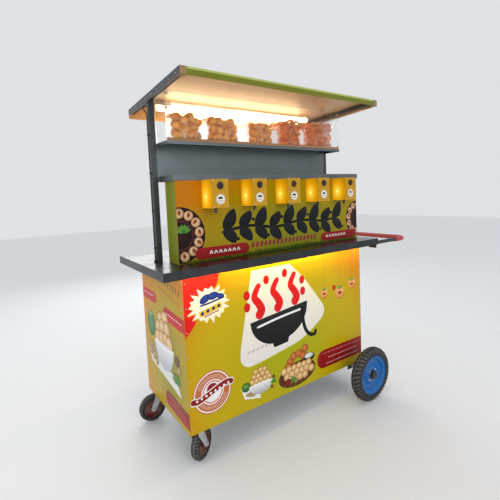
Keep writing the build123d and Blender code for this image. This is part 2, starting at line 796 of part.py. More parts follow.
tyre_out = wheel_standoff
tyre_in = wheel_standoff - wheel_width
tyre_mid = (tyre_out + tyre_in) / 2
tyre_span = wheel_radius - rim_radius
outer_foot = rim_radius + tyre_span * 9 / 46
inner_foot = rim_radius + tyre_span * 11 / 46
tyre_flank = rim_radius + tyre_span * 25 / 46
tyre_crown = rim_radius + tyre_span * 37 / 46
tread_edge = rim_radius + tyre_span * 87 / 92
for side_name, side in (("front", -1), ("back", 1)):
    with BuildPart() as wheel_hub:
        # a turned hub with a closed cap, on a running bore
        bore = axle_radius + running_clearance
        wheel_ring(side, [
            (0, hub_outer - hub_cap), (bore, hub_outer - hub_cap), (bore, hub_inner),
            (hub_radius, hub_inner), (hub_radius, hub_outer - 3.0), (hub_radius - 3.0, hub_outer),
            (0, hub_outer),
        ])
    save(wheel_hub, f"{side_name}_wheel_hub")

    with BuildPart() as wheel_disc:
        # a dished disc in one piece with its rim
        seat = hub_radius + touch_gap / 3
        dish = tyre_out - 18.0
        half_seat = 19.0
        wheel_ring(side, [
            (seat, dish), (46.0, dish), (62.0, dish - 12.0), (84.0, dish - 8.0),
            (96.0, tyre_mid + 6.0), (96.0, tyre_mid - half_seat), (rim_radius - 4.0, tyre_mid - half_seat - 2.0),
            (rim_radius, tyre_mid - half_seat - 6.0), (rim_radius, tyre_mid - half_seat - 6.0 + rim_sheet),
            (bead_radius, tyre_mid - half_seat + rim_sheet), (bead_radius - 3.0, tyre_mid - half_seat + 6.0),
            (bead_radius - 3.0, tyre_mid + half_seat - 6.0), (bead_radius, tyre_mid + half_seat - rim_sheet),
            (rim_radius, tyre_mid + half_seat + 6.0 - rim_sheet), (rim_radius, tyre_mid + half_seat + 6.0),
            (rim_radius - 4.0, tyre_mid + half_seat + 2.0), (96.0, tyre_mid + half_seat),
            (86.0, dish - 8.0 + rim_sheet), (63.0, dish - 12.0 + rim_sheet),
            (47.0, dish + rim_sheet), (seat, dish + rim_sheet),
        ])
    save(wheel_disc, f"{side_name}_wheel_disc")

    with BuildPart() as wheel_tyre:
        # a carcass open towards the rim
        gap = touch_gap / 3
        foot = bead_radius + gap
        wheel_ring(side, [
            (foot, tyre_mid - half_seat + rim_sheet + 1.0), (rim_radius + gap + 1.0, tyre_mid - half_seat - 3.0),
            (outer_foot, tyre_in + 4.0), (tyre_flank, tyre_in), (tyre_crown, tyre_in + 5.0),
            (tread_edge, tyre_in + 14.0),
            (wheel_radius, tyre_mid - 9.0), (wheel_radius, tyre_mid + 9.0), (tread_edge, tyre_out - 14.0),
            (tyre_crown, tyre_out - 5.0), (tyre_flank, tyre_out), (outer_foot, tyre_out - 4.0),
            (rim_radius + gap + 1.0, tyre_mid + half_seat + 3.0), (foot, tyre_mid + half_seat - rim_sheet - 1.0),
            (foot, tyre_mid + half_seat - rim_sheet - 1.0 - tyre_wall),
            (inner_foot, tyre_out - 4.0 - tyre_wall), (tyre_flank, tyre_out - tyre_wall),
            (tyre_crown, tyre_mid + 9.0), (tyre_crown, tyre_mid - 9.0), (tyre_flank, tyre_in + tyre_wall),
            (inner_foot, tyre_in + 4.0 + tyre_wall), (foot, tyre_mid - half_seat + rim_sheet + 1.0 + tyre_wall),
        ])
    save(wheel_tyre, f"{side_name}_wheel_tyre")

# --------------------------------------------------------------------- casters
plate_under = frame_height - caster_plate_sheet
race_under = plate_under - caster_race_height
crown_top = race_under - touch_gap
crown_under = crown_top - caster_crown_sheet
pin_head_height = 8.0
with BuildPart() as caster_plates:
    # each plate carries a race and the kingpin with its head
    for cx, cy in caster_spots:
        length, width = caster_plate_size
        block(
            (cx - length / 2, cy - width / 2, plate_under),
            (cx + length / 2, cy + width / 2, frame_height),
        )
        rod((cx, cy, race_under), (0, 0, 1), caster_race_radius, caster_race_height)
        rod((cx, cy, crown_under - touch_gap), (0, 0, 1), kingpin_radius, race_under - crown_under + touch_gap)
        rod((cx, cy, crown_under - touch_gap), (0, 0, -1), kingpin_head, pin_head_height)
    for bx, by in caster_bolts:
        rod((bx, by, plate_under), (0, 0, 1), caster_hole_radius, caster_plate_sheet, mode=Mode.SUBTRACT)
save(caster_plates, "caster_plates")

bolt_head_radius = 7.0
bolt_head_height = 5.0
with BuildPart() as caster_bolt_set:
    # head under the plate, nut on the pad
    for bx, by in caster_bolts:
        grip_length = caster_plate_sheet + angle_wall
        rod((bx, by, plate_under), (0, 0, 1), caster_bolt_radius, grip_length + bolt_head_height + 2.0)
        rod((bx, by, plate_under), (0, 0, -1), bolt_head_radius, bolt_head_height)
        rod((bx, by, plate_under + grip_length), (0, 0, 1), bolt_head_radius, bolt_head_height)
save(caster_bolt_set, "caster_bolts")

for side_name, (cx, cy), turn in (
    ("front", caster_spots[0], front_caster_turn),
    ("back", caster_spots[1], back_caster_turn),
):
    trail = Vector(math.cos(math.radians(turn)), math.sin(math.radians(turn)), 0)
    across = Vector(-trail.Y, trail.X, 0)
    centre = Vector(cx, cy, caster_radius) + trail * caster_trail
    # sketches on this plane: along the trail, then up; its normal is the wheel's axis
    wheel_plane = Plane(origin=centre, x_dir=trail, z_dir=across * -1)
    pin_bore = kingpin_radius + running_clearance
    leg_outer = caster_leg_gap + caster_leg_wall

    with BuildPart() as caster_fork:
        rod((cx, cy, crown_under), (0, 0, 1), caster_crown_radius, caster_crown_sheet)
        rise = crown_under - caster_radius
        for start in (caster_leg_gap, -leg_outer):
            with BuildSketch(wheel_plane.offset(start)):
                with BuildLine():
                    Polyline(
                        (-caster_trail - 16.0, rise + caster_crown_sheet), (-caster_trail + 18.0, rise + caster_crown_sheet),
                        (12.0, 8.0), (12.0, -6.0), (6.0, -12.0), (-6.0, -12.0), (-12.0, -6.0),
                        (-caster_trail - 16.0, rise - 18.0), close=True,
                    )
                make_face()
            extrude(amount=caster_leg_wall)
        # ears join the legs to the crown
        with BuildSketch(Plane(origin=(cx, cy, crown_under), x_dir=trail, z_dir=(0, 0, 1))):
            with Locations((1.0, 0)):
                Rectangle(34.0, 2 * leg_outer)
        extrude(amount=caster_crown_sheet)
        rod((cx, cy, crown_under), (0, 0, 1), pin_bore, caster_crown_sheet, mode=Mode.SUBTRACT)
        with BuildSketch(wheel_plane.offset(-leg_outer)):
            Circle(pin_bore)
        extrude(amount=2 * leg_outer, mode=Mode.SUBTRACT)
    save(caster_fork, f"{side_name}_caster_fork")

    with BuildPart() as caster_axle:
        with BuildSketch(wheel_plane.offset(-leg_outer)):
            Circle(kingpin_radius)
        extrude(amount=2 * leg_outer)
        for start, amount in ((leg_outer, 6.0), (-leg_outer, -6.0)):
            with BuildSketch(wheel_plane.offset(start)):
                RegularPolygon(10.5, 6)
            extrude(amount=amount)
    save(caster_axle, f"{side_name}_caster_axle")

    rim_half = caster_rim_width / 2
    with BuildPart() as caster_rim:
        # a dished centre with a bored boss
        with BuildSketch(wheel_plane.offset(-rim_half)):
            Circle(caster_rim_radius)
            Circle(pin_bore, mode=Mode.SUBTRACT)
        extrude(amount=caster_rim_width)
        for start, amount in ((rim_half, -9.0), (-rim_half, 9.0)):
            with BuildSketch(wheel_plane.offset(start)):
                Circle(caster_rim_radius - 5.0)
                Circle(17.0, mode=Mode.SUBTRACT)
            extrude(amount=amount, mode=Mode.SUBTRACT)
        boss = caster_leg_gap - 1.0
        for start in (rim_half, -boss):
            with BuildSketch(wheel_plane.offset(start)):
                Circle(15.0)
                Circle(pin_bore, mode=Mode.SUBTRACT)
            extrude(amount=boss - rim_half)
    save(caster_rim, f"{side_name}_caster_rim")

    with BuildPart() as caster_tyre:
        with BuildSketch(wheel_plane.offset(-caster_width / 2)):
            Circle(caster_radius)
            Circle(caster_rim_radius + running_clearance, mode=Mode.SUBTRACT)
        extrude(amount=caster_width)
        outer = caster_tyre.edges().filter_by(GeomType.CIRCLE).group_by(SortBy.RADIUS)[-1]
        fillet(outer, radius=12.0)
    save(caster_tyre, f"{side_name}_caster_tyre")

# ---------------------------------------------------------------- sliding doors
track_low = floor_top
track_high = counter_under - angle_leg
rail_x0, rail_x1 = in_x0 + angle_leg + touch_gap, in_x1 - angle_leg - touch_gap
groove_ys = [track_y0 + track_wall, track_y0 + 2 * track_wall + door_groove]
with BuildPart() as door_tracks:
    # a double channel on the floor and one under the top rail
    for low, high, floor in (
        (track_low, track_low + track_height, 0),
        (track_high - 2 * track_height, counter_under - angle_wall, 1),
    ):
        block((rail_x0, track_y0, low), (rail_x1, track_y0 + track_depth, high))
        for groove_y in groove_ys:
            cut_low = low + track_wall if floor == 0 else low
            cut_high = high if floor == 0 else high - track_wall
            block(
                (rail_x0, groove_y, cut_low), (rail_x1, groove_y + door_groove, cut_high),
                mode=Mode.SUBTRACT,
            )
save(door_tracks, "door_tracks")

door_low = track_low + track_wall + touch_gap
door_high = track_high - track_height / 2
door_middle = (rail_x0 + rail_x1) / 2
side_play = (door_groove - door_sheet) / 2
for door_name, groove_y, low_x, high_x, cup_x in (
    ("left_door", groove_ys[1], rail_x0 + door_end_gap, door_middle + door_overlap, rail_x0 + 60.0),
    ("right_door", groove_ys[0], door_middle - door_overlap, rail_x1 - door_end_gap, rail_x1 - 60.0),
):
    with BuildPart() as door:
        face_y = groove_y + side_play + door_sheet
        block((low_x, groove_y + side_play, door_low), (high_x, face_y, door_high))
        cup_z = (door_low + door_high) / 2
        rod((cup_x, face_y, cup_z), (0, -1, 0), door_cup_radius, door_cup_depth, mode=Mode.SUBTRACT)
    save(door, door_name)
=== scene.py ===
# %% [markdown]
# # A push vending cart
# A sheet-clad cart for hollow snack balls served with flavoured water. This notebook puts the finishes
# and the small fittings on a fixed metal frame, from the shared tools to the camera.

# %%
import bpy
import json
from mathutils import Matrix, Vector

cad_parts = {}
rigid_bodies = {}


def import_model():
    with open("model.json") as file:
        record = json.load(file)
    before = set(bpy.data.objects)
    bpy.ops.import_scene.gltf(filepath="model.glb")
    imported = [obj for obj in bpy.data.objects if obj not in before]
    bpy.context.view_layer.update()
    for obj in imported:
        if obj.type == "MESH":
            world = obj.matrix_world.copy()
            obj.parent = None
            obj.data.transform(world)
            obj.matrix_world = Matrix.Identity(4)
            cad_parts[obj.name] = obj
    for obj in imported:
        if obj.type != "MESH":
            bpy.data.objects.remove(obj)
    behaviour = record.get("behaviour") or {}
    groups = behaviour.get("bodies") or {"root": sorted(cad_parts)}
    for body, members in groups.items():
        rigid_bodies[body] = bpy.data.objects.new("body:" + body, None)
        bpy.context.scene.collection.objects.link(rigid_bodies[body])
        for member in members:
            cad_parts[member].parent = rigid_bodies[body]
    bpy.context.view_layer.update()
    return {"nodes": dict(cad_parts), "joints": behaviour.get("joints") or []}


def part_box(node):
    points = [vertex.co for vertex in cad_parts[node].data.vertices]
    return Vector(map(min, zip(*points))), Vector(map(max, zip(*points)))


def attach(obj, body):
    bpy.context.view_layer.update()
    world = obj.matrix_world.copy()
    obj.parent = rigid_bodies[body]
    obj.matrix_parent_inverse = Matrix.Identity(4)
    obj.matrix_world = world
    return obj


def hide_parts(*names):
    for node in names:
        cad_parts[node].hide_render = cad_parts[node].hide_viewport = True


for thing in list(bpy.data.objects):
    bpy.data.objects.remove(thing)
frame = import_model()

import json
import math
import random

import bmesh
import numpy as np
from mathutils import Matrix, Vector, noise
from mathutils.geometry import tessellate_polygon

nodes = frame["nodes"]

# %% [markdown]
# ## Where things are
# Every piece is placed from the frame's own boxes. The cabinet's front left corner is the datum for
# the printed front and sides, and millimetres read more easily than metres on a panel.

# %%
MM = 0.001
panel_low, panel_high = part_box("front_panel")
LEFT, RIGHT, FRONT = panel_low[0], panel_high[0], panel_low[1]
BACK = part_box("left_panel")[1][1]
housing_low, housing_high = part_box("housing_front")
BODY = "chassis"
print("cabinet", round(RIGHT - LEFT, 3), "m long and", round(BACK - FRONT, 3), "m deep")

# %% [markdown]
# ## Small tools for shader trees
# A tree is written as a few nested calls: `add` makes a node and joins or sets its sockets by name.

# %%
def tint(red, green, blue):
    """A screen colour, 0 to 255, as the linear values that a shader takes."""
    def linear(value):
        value /= 255
        return value / 12.92 if value <= 0.04045 else ((value + 0.055) / 1.055) ** 2.4
    return (linear(red), linear(green), linear(blue), 1.0)


def add(tree, kind, sockets=None, **settings):
    """A node with its settings, and its input sockets linked or set."""
    made = tree.nodes.new(kind)
    for key, value in settings.items():
        setattr(made, key, value)
    for key, value in (sockets or {}).items():
        if isinstance(value, bpy.types.NodeSocket):
            tree.links.new(value, made.inputs[key])
        else:
            made.inputs[key].default_value = value
    return made


def calc(tree, operation, first, second=0.0):
    """One sum on two numbers."""
    return add(tree, "ShaderNodeMath", {0: first, 1: second}, operation=operation).outputs[0]


def times(tree, first, *others):
    """Numbers multiplied from left to right."""
    for other in others:
        first = calc(tree, "MULTIPLY", first, other)
    return first


def plus(tree, first, *others):
    """Numbers added from left to right."""
    for other in others:
        first = calc(tree, "ADD", first, other)
    return first


def minus(tree, first, second):
    """One number less another."""
    return calc(tree, "SUBTRACT", first, second)


def distance(tree, across, upward):
    """How far a point lies from a centre."""
    return calc(tree, "SQRT", plus(tree, times(tree, across, across), times(tree, upward, upward)))


def axes(tree, vector):
    """The X, Y and Z of a vector."""
    return add(tree, "ShaderNodeSeparateXYZ", {0: vector}).outputs


def normal_axes(tree):
    """The X, Y and Z of the way that the surface looks."""
    return axes(tree, add(tree, "ShaderNodeNewGeometry").outputs["Normal"])


def mix(tree, factor, first, second):
    """A colour between two colours."""
    made = add(tree, "ShaderNodeMix", {0: factor, 6: first, 7: second}, data_type="RGBA")
    return made.outputs[2]


def spread(tree, value, low, high, to_low=0.0, to_high=1.0):
    """A number moved smoothly from one range to another."""
    sockets = {"Value": value, "From Min": low, "From Max": high, "To Min": to_low, "To Max": to_high}
    made = add(tree, "ShaderNodeMapRange", sockets, interpolation_type="SMOOTHSTEP")
    return made.outputs[0]


def place(tree, scale=(1, 1, 1)):
    """The point in the object's own metres, stretched."""
    where = add(tree, "ShaderNodeTexCoord").outputs["Object"]
    return add(tree, "ShaderNodeMapping", {"Vector": where, "Scale": scale}).outputs[0]


def cloud(tree, where, scale, detail=4.0, rough=0.55):
    """Soft noise from 0 to 1."""
    sockets = {"Vector": where, "Scale": scale, "Detail": detail, "Roughness": rough}
    return add(tree, "ShaderNodeTexNoise", sockets).outputs[0]


def group(name, inputs, outputs):
    """A shader group with named sockets. Gives its tree, its inputs and its outputs."""
    tree = bpy.data.node_groups.new(name, "ShaderNodeTree")
    for label, kind, value in inputs:
        tree.interface.new_socket(label, in_out="INPUT", socket_type=kind).default_value = value
    for label, kind in outputs:
        tree.interface.new_socket(label, in_out="OUTPUT", socket_type=kind)
    start = tree.nodes.new("NodeGroupInput").outputs
    end = tree.nodes.new("NodeGroupOutput").inputs
    return tree, start, end


NUMBER, COLOUR = "NodeSocketFloat", "NodeSocketColor"
FINISH = [("Color", COLOUR), ("Roughness", NUMBER), ("Height", NUMBER)]  # what most groups put out
print("yellow in linear light:", [round(v, 3) for v in tint(240, 200, 30)])

# %% [markdown]
# ## Brushed steel
# The counter, the ledge and the posts are rolled sheet brushed along their length. Fine streaks come
# from noise stretched hard along X, and hands and cloths leave soft smears that change the gloss.

# %%
tree, start, end = group(
    "Brushed steel",
    [("Base", COLOUR, (0.3, 0.3, 0.3, 1)), ("Gloss", NUMBER, 0.25), ("Smears", NUMBER, 0.5)],
    FINISH,
)
streaks = cloud(tree, place(tree, (6, 420, 420)), 2.0, 3.0)
smears = cloud(tree, place(tree), 7.0, 6.0, 0.62)
patch = spread(tree, smears, 0.35, 0.72)
darker = mix(tree, times(tree, streaks, 0.55), start["Base"], (0.08, 0.085, 0.09, 1))
tree.links.new(mix(tree, times(tree, patch, 0.1), darker, (0.2, 0.2, 0.2, 1)), end["Color"])
rougher = times(tree, patch, start["Smears"], 0.28)
grain = times(tree, streaks, 0.16)
tree.links.new(plus(tree, start["Gloss"], grain, rougher), end["Roughness"])
tree.links.new(streaks, end["Height"])
brushed_steel = tree
print("group", tree.name, [item.name for item in tree.interface.items_tree])

# %% [markdown]
# ## Zinc and paint
# Caster forks are pressed steel with a dull zinc coat, which shows pale flakes and grey bloom. Painted
# parts chip and gather road dust, most of it low down, so the dust fades out with height.

# %%
tree, start, end = group(
    "Zinc coat", [("Base", COLOUR, (0.5, 0.5, 0.5, 1))],
    FINISH
)
flakes = add(tree, "ShaderNodeTexVoronoi", {"Vector": place(tree), "Scale": 160.0, "Randomness": 1.0})
shade = add(tree, "ShaderNodeSeparateColor", {0: flakes.outputs["Color"]}).outputs[0]
bloom = cloud(tree, place(tree), 34.0, 6.0)
pale = mix(tree, times(tree, shade, 0.3), start["Base"], (0.78, 0.79, 0.8, 1))
tree.links.new(mix(tree, spread(tree, bloom, 0.52, 0.78, 0, 0.6), pale, (0.22, 0.21, 0.2, 1)), end["Color"])
tree.links.new(spread(tree, bloom, 0.3, 0.8, 0.32, 0.62), end["Roughness"])
tree.links.new(bloom, end["Height"])
zinc_coat = tree

tree, start, end = group(
    "Worn paint",
    [
        ("Paint", COLOUR, (0.5, 0.5, 0.5, 1)), ("Gloss", NUMBER, 0.3), ("Dust", NUMBER, 0.5),
        ("Chips", NUMBER, 0.3)
    ],
    FINISH,
)
grime = cloud(tree, place(tree), 19.0, 8.0, 0.65)
specks = cloud(tree, place(tree), 150.0, 3.0)
depth = axes(tree, place(tree))["Z"]
low_down = spread(tree, depth, 0.45, 0.0)
dust = times(tree, low_down, spread(tree, grime, 0.38, 0.75), start["Dust"])
limit = minus(tree, 0.86, times(tree, start["Chips"], 0.22))
chip = calc(tree, "GREATER_THAN", specks, limit)
mottled = mix(tree, spread(tree, grime, 0.3, 0.8, 0, 0.14), start["Paint"], (0.02, 0.02, 0.02, 1))
dusty = mix(tree, dust, mottled, tint(150, 138, 120))
tree.links.new(mix(tree, chip, dusty, tint(70, 62, 58)), end["Color"])
tree.links.new(
    plus(tree, start["Gloss"], plus(tree, times(tree, dust, 0.5), times(tree, grime, 0.1))), end["Roughness"]
)
tree.links.new(minus(tree, times(tree, grime, 0.4), chip), end["Height"])
worn_paint = tree
print("groups", zinc_coat.name, "and", worn_paint.name)

# %% [markdown]
# ## Printed vinyl
# The cabinet and the housing are wrapped in a laminated print: lime in the middle, yellow round it and
# orange towards the ends. The ground colour is worked out from the distance to a lime centre, and faces
# that look left can take a darker olive: painted shade on the housing's left cheek.

# %%
tree, start, end = group(
    "Vinyl ground",
    [("Centre X", NUMBER, 0.0), ("Centre Z", NUMBER, 0.0),
     ("Half Length", NUMBER, 0.7), ("Half Height", NUMBER, 0.5),
     ("Inner", COLOUR, tint(168, 168, 4)), ("Middle", COLOUR, tint(194, 168, 4)),
     ("Outer", COLOUR, tint(206, 124, 2)),
     ("Cheek Shade", COLOUR, tint(124, 130, 12)), ("Cheek Share", NUMBER, 0.0)],
    FINISH,
)
spot = axes(tree, place(tree))
across = calc(
    tree, "DIVIDE", minus(tree, plus(tree, spot["X"], spot["Y"]), start["Centre X"]), start["Half Length"]
)
upward = calc(tree, "DIVIDE", minus(tree, spot["Z"], start["Centre Z"]), start["Half Height"])
far = distance(tree, across, upward)
ripple = cloud(tree, place(tree), 3.0, 2.0)
far = plus(tree, far, times(tree, minus(tree, ripple, 0.5), 0.12))
ground = mix(tree, spread(tree, far, 0.1, 0.75), start["Inner"], start["Middle"])
ground = mix(tree, spread(tree, far, 0.72, 1.25), ground, start["Outer"])
# Painted shade: faces that look left take a darker olive, the housing's left cheek in shade.
turned = normal_axes(tree)["X"]
cheek = times(tree, calc(tree, "LESS_THAN", turned, -0.5), start["Cheek Share"])
ground = mix(tree, cheek, ground, start["Cheek Shade"])
scuff = cloud(tree, place(tree, (3, 3, 14)), 26.0, 8.0, 0.7)
dirt = times(tree, spread(tree, scuff, 0.5, 0.8), spread(tree, spot["Z"], 0.42, 0.17, 0.0, 0.35))
tree.links.new(mix(tree, dirt, ground, tint(110, 84, 40)), end["Color"])
tree.links.new(spread(tree, scuff, 0.3, 0.8, 0.22, 0.38), end["Roughness"])
tree.links.new(cloud(tree, place(tree), 9.0, 2.0), end["Height"])
vinyl_ground = tree
print("group", tree.name, "has", len(tree.nodes), "nodes")

# %% [markdown]
# ## Rubber and fried crust
# Tyres are dull black with grey dust in the grooves. Snack balls are fried dough: golden, browner in
# blotches, with fine blisters, so colour and relief share the same noise.

# %%
tree, start, end = group(
    "Tyre rubber", [("Dust", NUMBER, 0.5), ("Groove Dust", NUMBER, 0.8)],
    FINISH
)
grit = cloud(tree, place(tree), 60.0, 8.0, 0.7)
cover = cloud(tree, place(tree), 11.0, 4.0)
mask = times(tree, spread(tree, grit, 0.4, 0.7), spread(tree, cover, 0.3, 0.7), start["Dust"])
worn = mix(tree, mask, tint(19, 19, 20), tint(96, 90, 80))
groove = add(tree, "ShaderNodeAttribute", attribute_name="groove").outputs["Fac"]
pale = times(tree, spread(tree, groove, 0.25, 0.9), start["Groove Dust"])
tree.links.new(mix(tree, pale, worn, tint(112, 108, 98)), end["Color"])
tree.links.new(spread(tree, mask, 0.0, 0.6, 0.55, 0.9), end["Roughness"])
tree.links.new(grit, end["Height"])
tyre_rubber = tree

tree, start, end = group(
    "Fried crust",
    [("Light", COLOUR, tint(238, 172, 84)), ("Dark", COLOUR, tint(196, 104, 34)), ("Blister", NUMBER, 240.0)],
    FINISH,
)
brown = cloud(tree, place(tree), 46.0, 5.0, 0.6)
blister = cloud(tree, place(tree), start["Blister"], 3.0)
tone = mix(tree, spread(tree, brown, 0.34, 0.68), start["Light"], start["Dark"])
tree.links.new(mix(tree, spread(tree, blister, 0.6, 0.75, 0, 0.35), tone, tint(240, 206, 148)), end["Color"])
tree.links.new(spread(tree, brown, 0.3, 0.7, 0.36, 0.55), end["Roughness"])
tree.links.new(plus(tree, blister, brown), end["Height"])
fried_crust = tree
print("groups", tyre_rubber.name, "and", fried_crust.name)

# %% [markdown]
# ## Crumpled film and a lit cheek
# Bag film is almost invisible where it lies flat, and milky along its creases: partly the film's own
# whitening, partly painted highlight where the folds catch light. So the group turns creases into opacity
# and a paler colour. A small lamp behind each dispenser's left cheek makes the thin yellow plastic
# glow, hottest in front of the lamp, so the second group puts out the colour of that light.

# %%
tree, start, end = group(
    "Crumpled film", [("Clear", NUMBER, 0.05), ("Milky Sheen", NUMBER, 0.5)],
    FINISH + [("Alpha", NUMBER)],
)
folds = cloud(tree, place(tree, (1, 1, 0.4)), 30.0, 5.0, 0.6)
wrinkles = cloud(tree, place(tree, (1.4, 1.4, 0.8)), 75.0, 3.0, 0.5)
lines = [
    spread(tree, calc(tree, "ABSOLUTE", minus(tree, source, 0.5)), width, 0.0)
    for source, width in ((folds, 0.03), (wrinkles, 0.022))
]
strong = calc(tree, "MAXIMUM", lines[0], times(tree, lines[1], 0.6))
# Creases turn opaque and paler: partly the film's own whitening, partly a painted highlight.
patchy = times(tree, strong, spread(tree, cloud(tree, place(tree), 14.0, 2.0), 0.36, 0.62))
tree.links.new(plus(tree, start["Clear"], times(tree, patchy, start["Milky Sheen"])), end["Alpha"])
tree.links.new(mix(tree, patchy, tint(255, 232, 200), tint(255, 250, 240)), end["Color"])
tree.links.new(spread(tree, folds, 0.3, 0.7, 0.08, 0.2), end["Roughness"])
tree.links.new(folds, end["Height"])
crumpled_film = tree

tree, start, end = group(
    "Lit cheek",
    [
        ("Middle Y", NUMBER, 0.0), ("Middle Z", NUMBER, 0.0), ("Reach", NUMBER, 0.08),
        ("Hot", COLOUR, tint(255, 236, 90)), ("Warm", COLOUR, tint(255, 176, 2))
    ],
    [("Light", COLOUR)],
)
spot = axes(tree, place(tree))
along = minus(tree, spot["Y"], start["Middle Y"])
upward = times(tree, minus(tree, spot["Z"], start["Middle Z"]), 0.72)
far = distance(tree, along, upward)
far = calc(tree, "DIVIDE", far, start["Reach"])
turned = normal_axes(tree)["X"]
lit = times(tree, calc(tree, "LESS_THAN", turned, -0.5), spread(tree, far, 1.0, 0.05))
tree.links.new(
    mix(tree, lit, (0, 0, 0, 1), mix(tree, spread(tree, far, 0.42, 0.0), start["Warm"], start["Hot"])),
    end["Light"]
)
lit_cheek = tree
print("groups", crumpled_film.name, "and", lit_cheek.name)

# %% [markdown]
# ## From groups to materials
# A material keeps its own shader. The group feeds its colour, roughness and relief, and plain numbers
# are set on the shader itself.

# %%
def material(name, source=None, inputs=None, relief=0.0, **sockets):
    """A material whose shader takes a group's colour, roughness and relief."""
    made = bpy.data.materials.new(name)
    made.use_nodes = True
    tree = made.node_tree
    shader = tree.nodes["Principled BSDF"]
    for key, value in sockets.items():
        shader.inputs[key.replace("_", " ")].default_value = value
    if source:
        feed = add(tree, "ShaderNodeGroup", node_tree=source)
        for key, value in (inputs or {}).items():
            feed.inputs[key].default_value = value
        tree.links.new(feed.outputs["Color"], shader.inputs["Base Color"])
        tree.links.new(feed.outputs["Roughness"], shader.inputs["Roughness"])
        if relief:
            bump = add(
                tree, "ShaderNodeBump",
                {"Strength": 0.6, "Distance": relief, "Height": feed.outputs["Height"]}
            )
            tree.links.new(bump.outputs[0], shader.inputs["Normal"])
    return made


def group_node(look):
    """The group node that feeds a material."""
    return next(node for node in look.node_tree.nodes if node.type == "GROUP")


def steel(name, base, gloss, smears):
    """Brushed steel of one shade."""
    return material(
        name, brushed_steel, {"Base": base, "Gloss": gloss, "Smears": smears}, 0.00004, Metallic=1.0
    )


def paint(name, colour, gloss=0.3, dust=0.5, chips=0.2, **sockets):
    """Paint or moulded plastic of one colour."""
    inputs = {"Paint": colour, "Gloss": gloss, "Dust": dust, "Chips": chips}
    return material(name, worn_paint, inputs, 0.00015, **sockets)


counter_steel = steel("Counter steel", tint(56, 58, 60), 0.15, 0.5)
panel_steel = steel("Panel steel", tint(118, 128, 130), 0.26, 0.5)
post_steel = steel("Post steel", tint(70, 74, 78), 0.24, 0.6)
frame_paint = paint("Frame paint", tint(34, 35, 37), 0.4, 0.7, 0.3)
zinc = material("Zinc", zinc_coat, {"Base": tint(186, 188, 190)}, 0.0002, Metallic=0.6)
yellow_box = paint("Dispenser yellow", tint(196, 146, 12), 0.3, 0.1, 0.0, Specular_IOR_Level=0.3)
black_gloss = paint("Black gloss", tint(20, 20, 22), 0.16, 0.2, 0.0)
black_matt = paint("Black moulding", tint(30, 30, 32), 0.45, 0.5, 0.1)
wheel_blue = paint("Wheel blue", tint(0, 104, 178), 0.3, 0.3, 0.35, Specular_IOR_Level=0.25)
caster_red = paint("Caster red", tint(110, 30, 24), 0.42, 0.8, 0.1)
grip_red = paint("Grip red", tint(178, 62, 58), 0.45, 0.3, 0.1)
olive = paint("Fascia olive", tint(112, 118, 10), 0.3, 0.1, 0.1, Specular_IOR_Level=0.3)
lime = paint("Fascia lime", tint(176, 190, 96), 0.3, 0.1, 0.0)
cap_brown = paint("Corner cap", tint(150, 118, 74), 0.4, 0.2, 0.2)
white_plastic = paint("White plastic", tint(226, 224, 216), 0.4, 0.1, 0.0)
tank_white = paint("Tank white", tint(214, 218, 214), 0.35, 0.0, 0.0, Transmission_Weight=0.25)
lid_blue = paint("Lid blue", tint(30, 80, 140), 0.4, 0.0, 0.0)
hose_clear = paint("Hose", tint(200, 200, 190), 0.3, 0.0, 0.0, Transmission_Weight=0.3)
tyre = material("Tyre", tyre_rubber, {"Dust": 0.55}, 0.0006)
print(len(bpy.data.materials), "materials so far")

# %% [markdown]
# Prints, lights and clear sheet need a material each. The lamps are real emitters, so the roof, the
# shelf and the top of the front panel catch their light as on the real cart.

# %%
def vinyl(name, centre_x, centre_z, half_length, half_height, **colours):
    """Laminated print with its lime centre at a place on the panel."""
    inputs = {
        "Centre X": centre_x, "Centre Z": centre_z, "Half Length": half_length, "Half Height": half_height
    }
    inputs.update(colours)
    return material(
        name, vinyl_ground, inputs, 0.0008, Specular_IOR_Level=0.14, Coat_Weight=0.06, Coat_Roughness=0.2
    )


SIDE_TINTS = {"Inner": tint(150, 142, 8), "Middle": tint(186, 158, 8), "Outer": tint(214, 136, 6)}
front_print = vinyl("Front print", LEFT + 0.60 + FRONT, 0.42, 0.66, 0.56)
side_print = vinyl("Left print", LEFT + FRONT + 0.2, 0.42, 0.34, 0.42, **SIDE_TINTS)
right_print = vinyl("Right print", RIGHT + BACK - 0.2, 0.42, 0.34, 0.42, **SIDE_TINTS)
# The housing's tints are darker than the front's: painted shade from the roof above it.
shaded_housing_print = vinyl(
    "Housing print in roof shade", LEFT + 0.72 + FRONT + 0.067, 1.02, 0.66, 0.36,
    Inner=tint(134, 134, 8), Middle=tint(158, 138, 4), Outer=tint(190, 116, 0),
)
# Painted shade: the housing's left cheek is darkened to olive.
group_node(shaded_housing_print).inputs["Cheek Share"].default_value = 1.0


def glow(name, colour, strength):
    """A lit diffuser."""
    return material(name, Base_Color=colour, Emission_Color=colour, Emission_Strength=strength, Roughness=0.4)


tube_glow = glow("Tube glow", tint(255, 224, 170), 21.0)
strip_glow = glow("Strip glow", tint(255, 218, 140), 52.0)
lamp_glow = glow("Lamp glow", tint(255, 206, 80), 9.0)


def clear(name, colour, roughness, ior=1.45, alpha=1.0):
    """Clear plastic."""
    return material(
        name, Base_Color=colour, Roughness=roughness, Transmission_Weight=1.0, IOR=ior, Alpha=alpha
    )


acrylic = clear("Clear acrylic", (0.97, 0.98, 0.98, 1), 0.03, 1.3, 0.3)
film = material("Bag film", crumpled_film, None, 0.0015, Specular_IOR_Level=0.9)
tree = film.node_tree
tree.links.new(group_node(film).outputs["Alpha"], tree.nodes["Principled BSDF"].inputs["Alpha"])

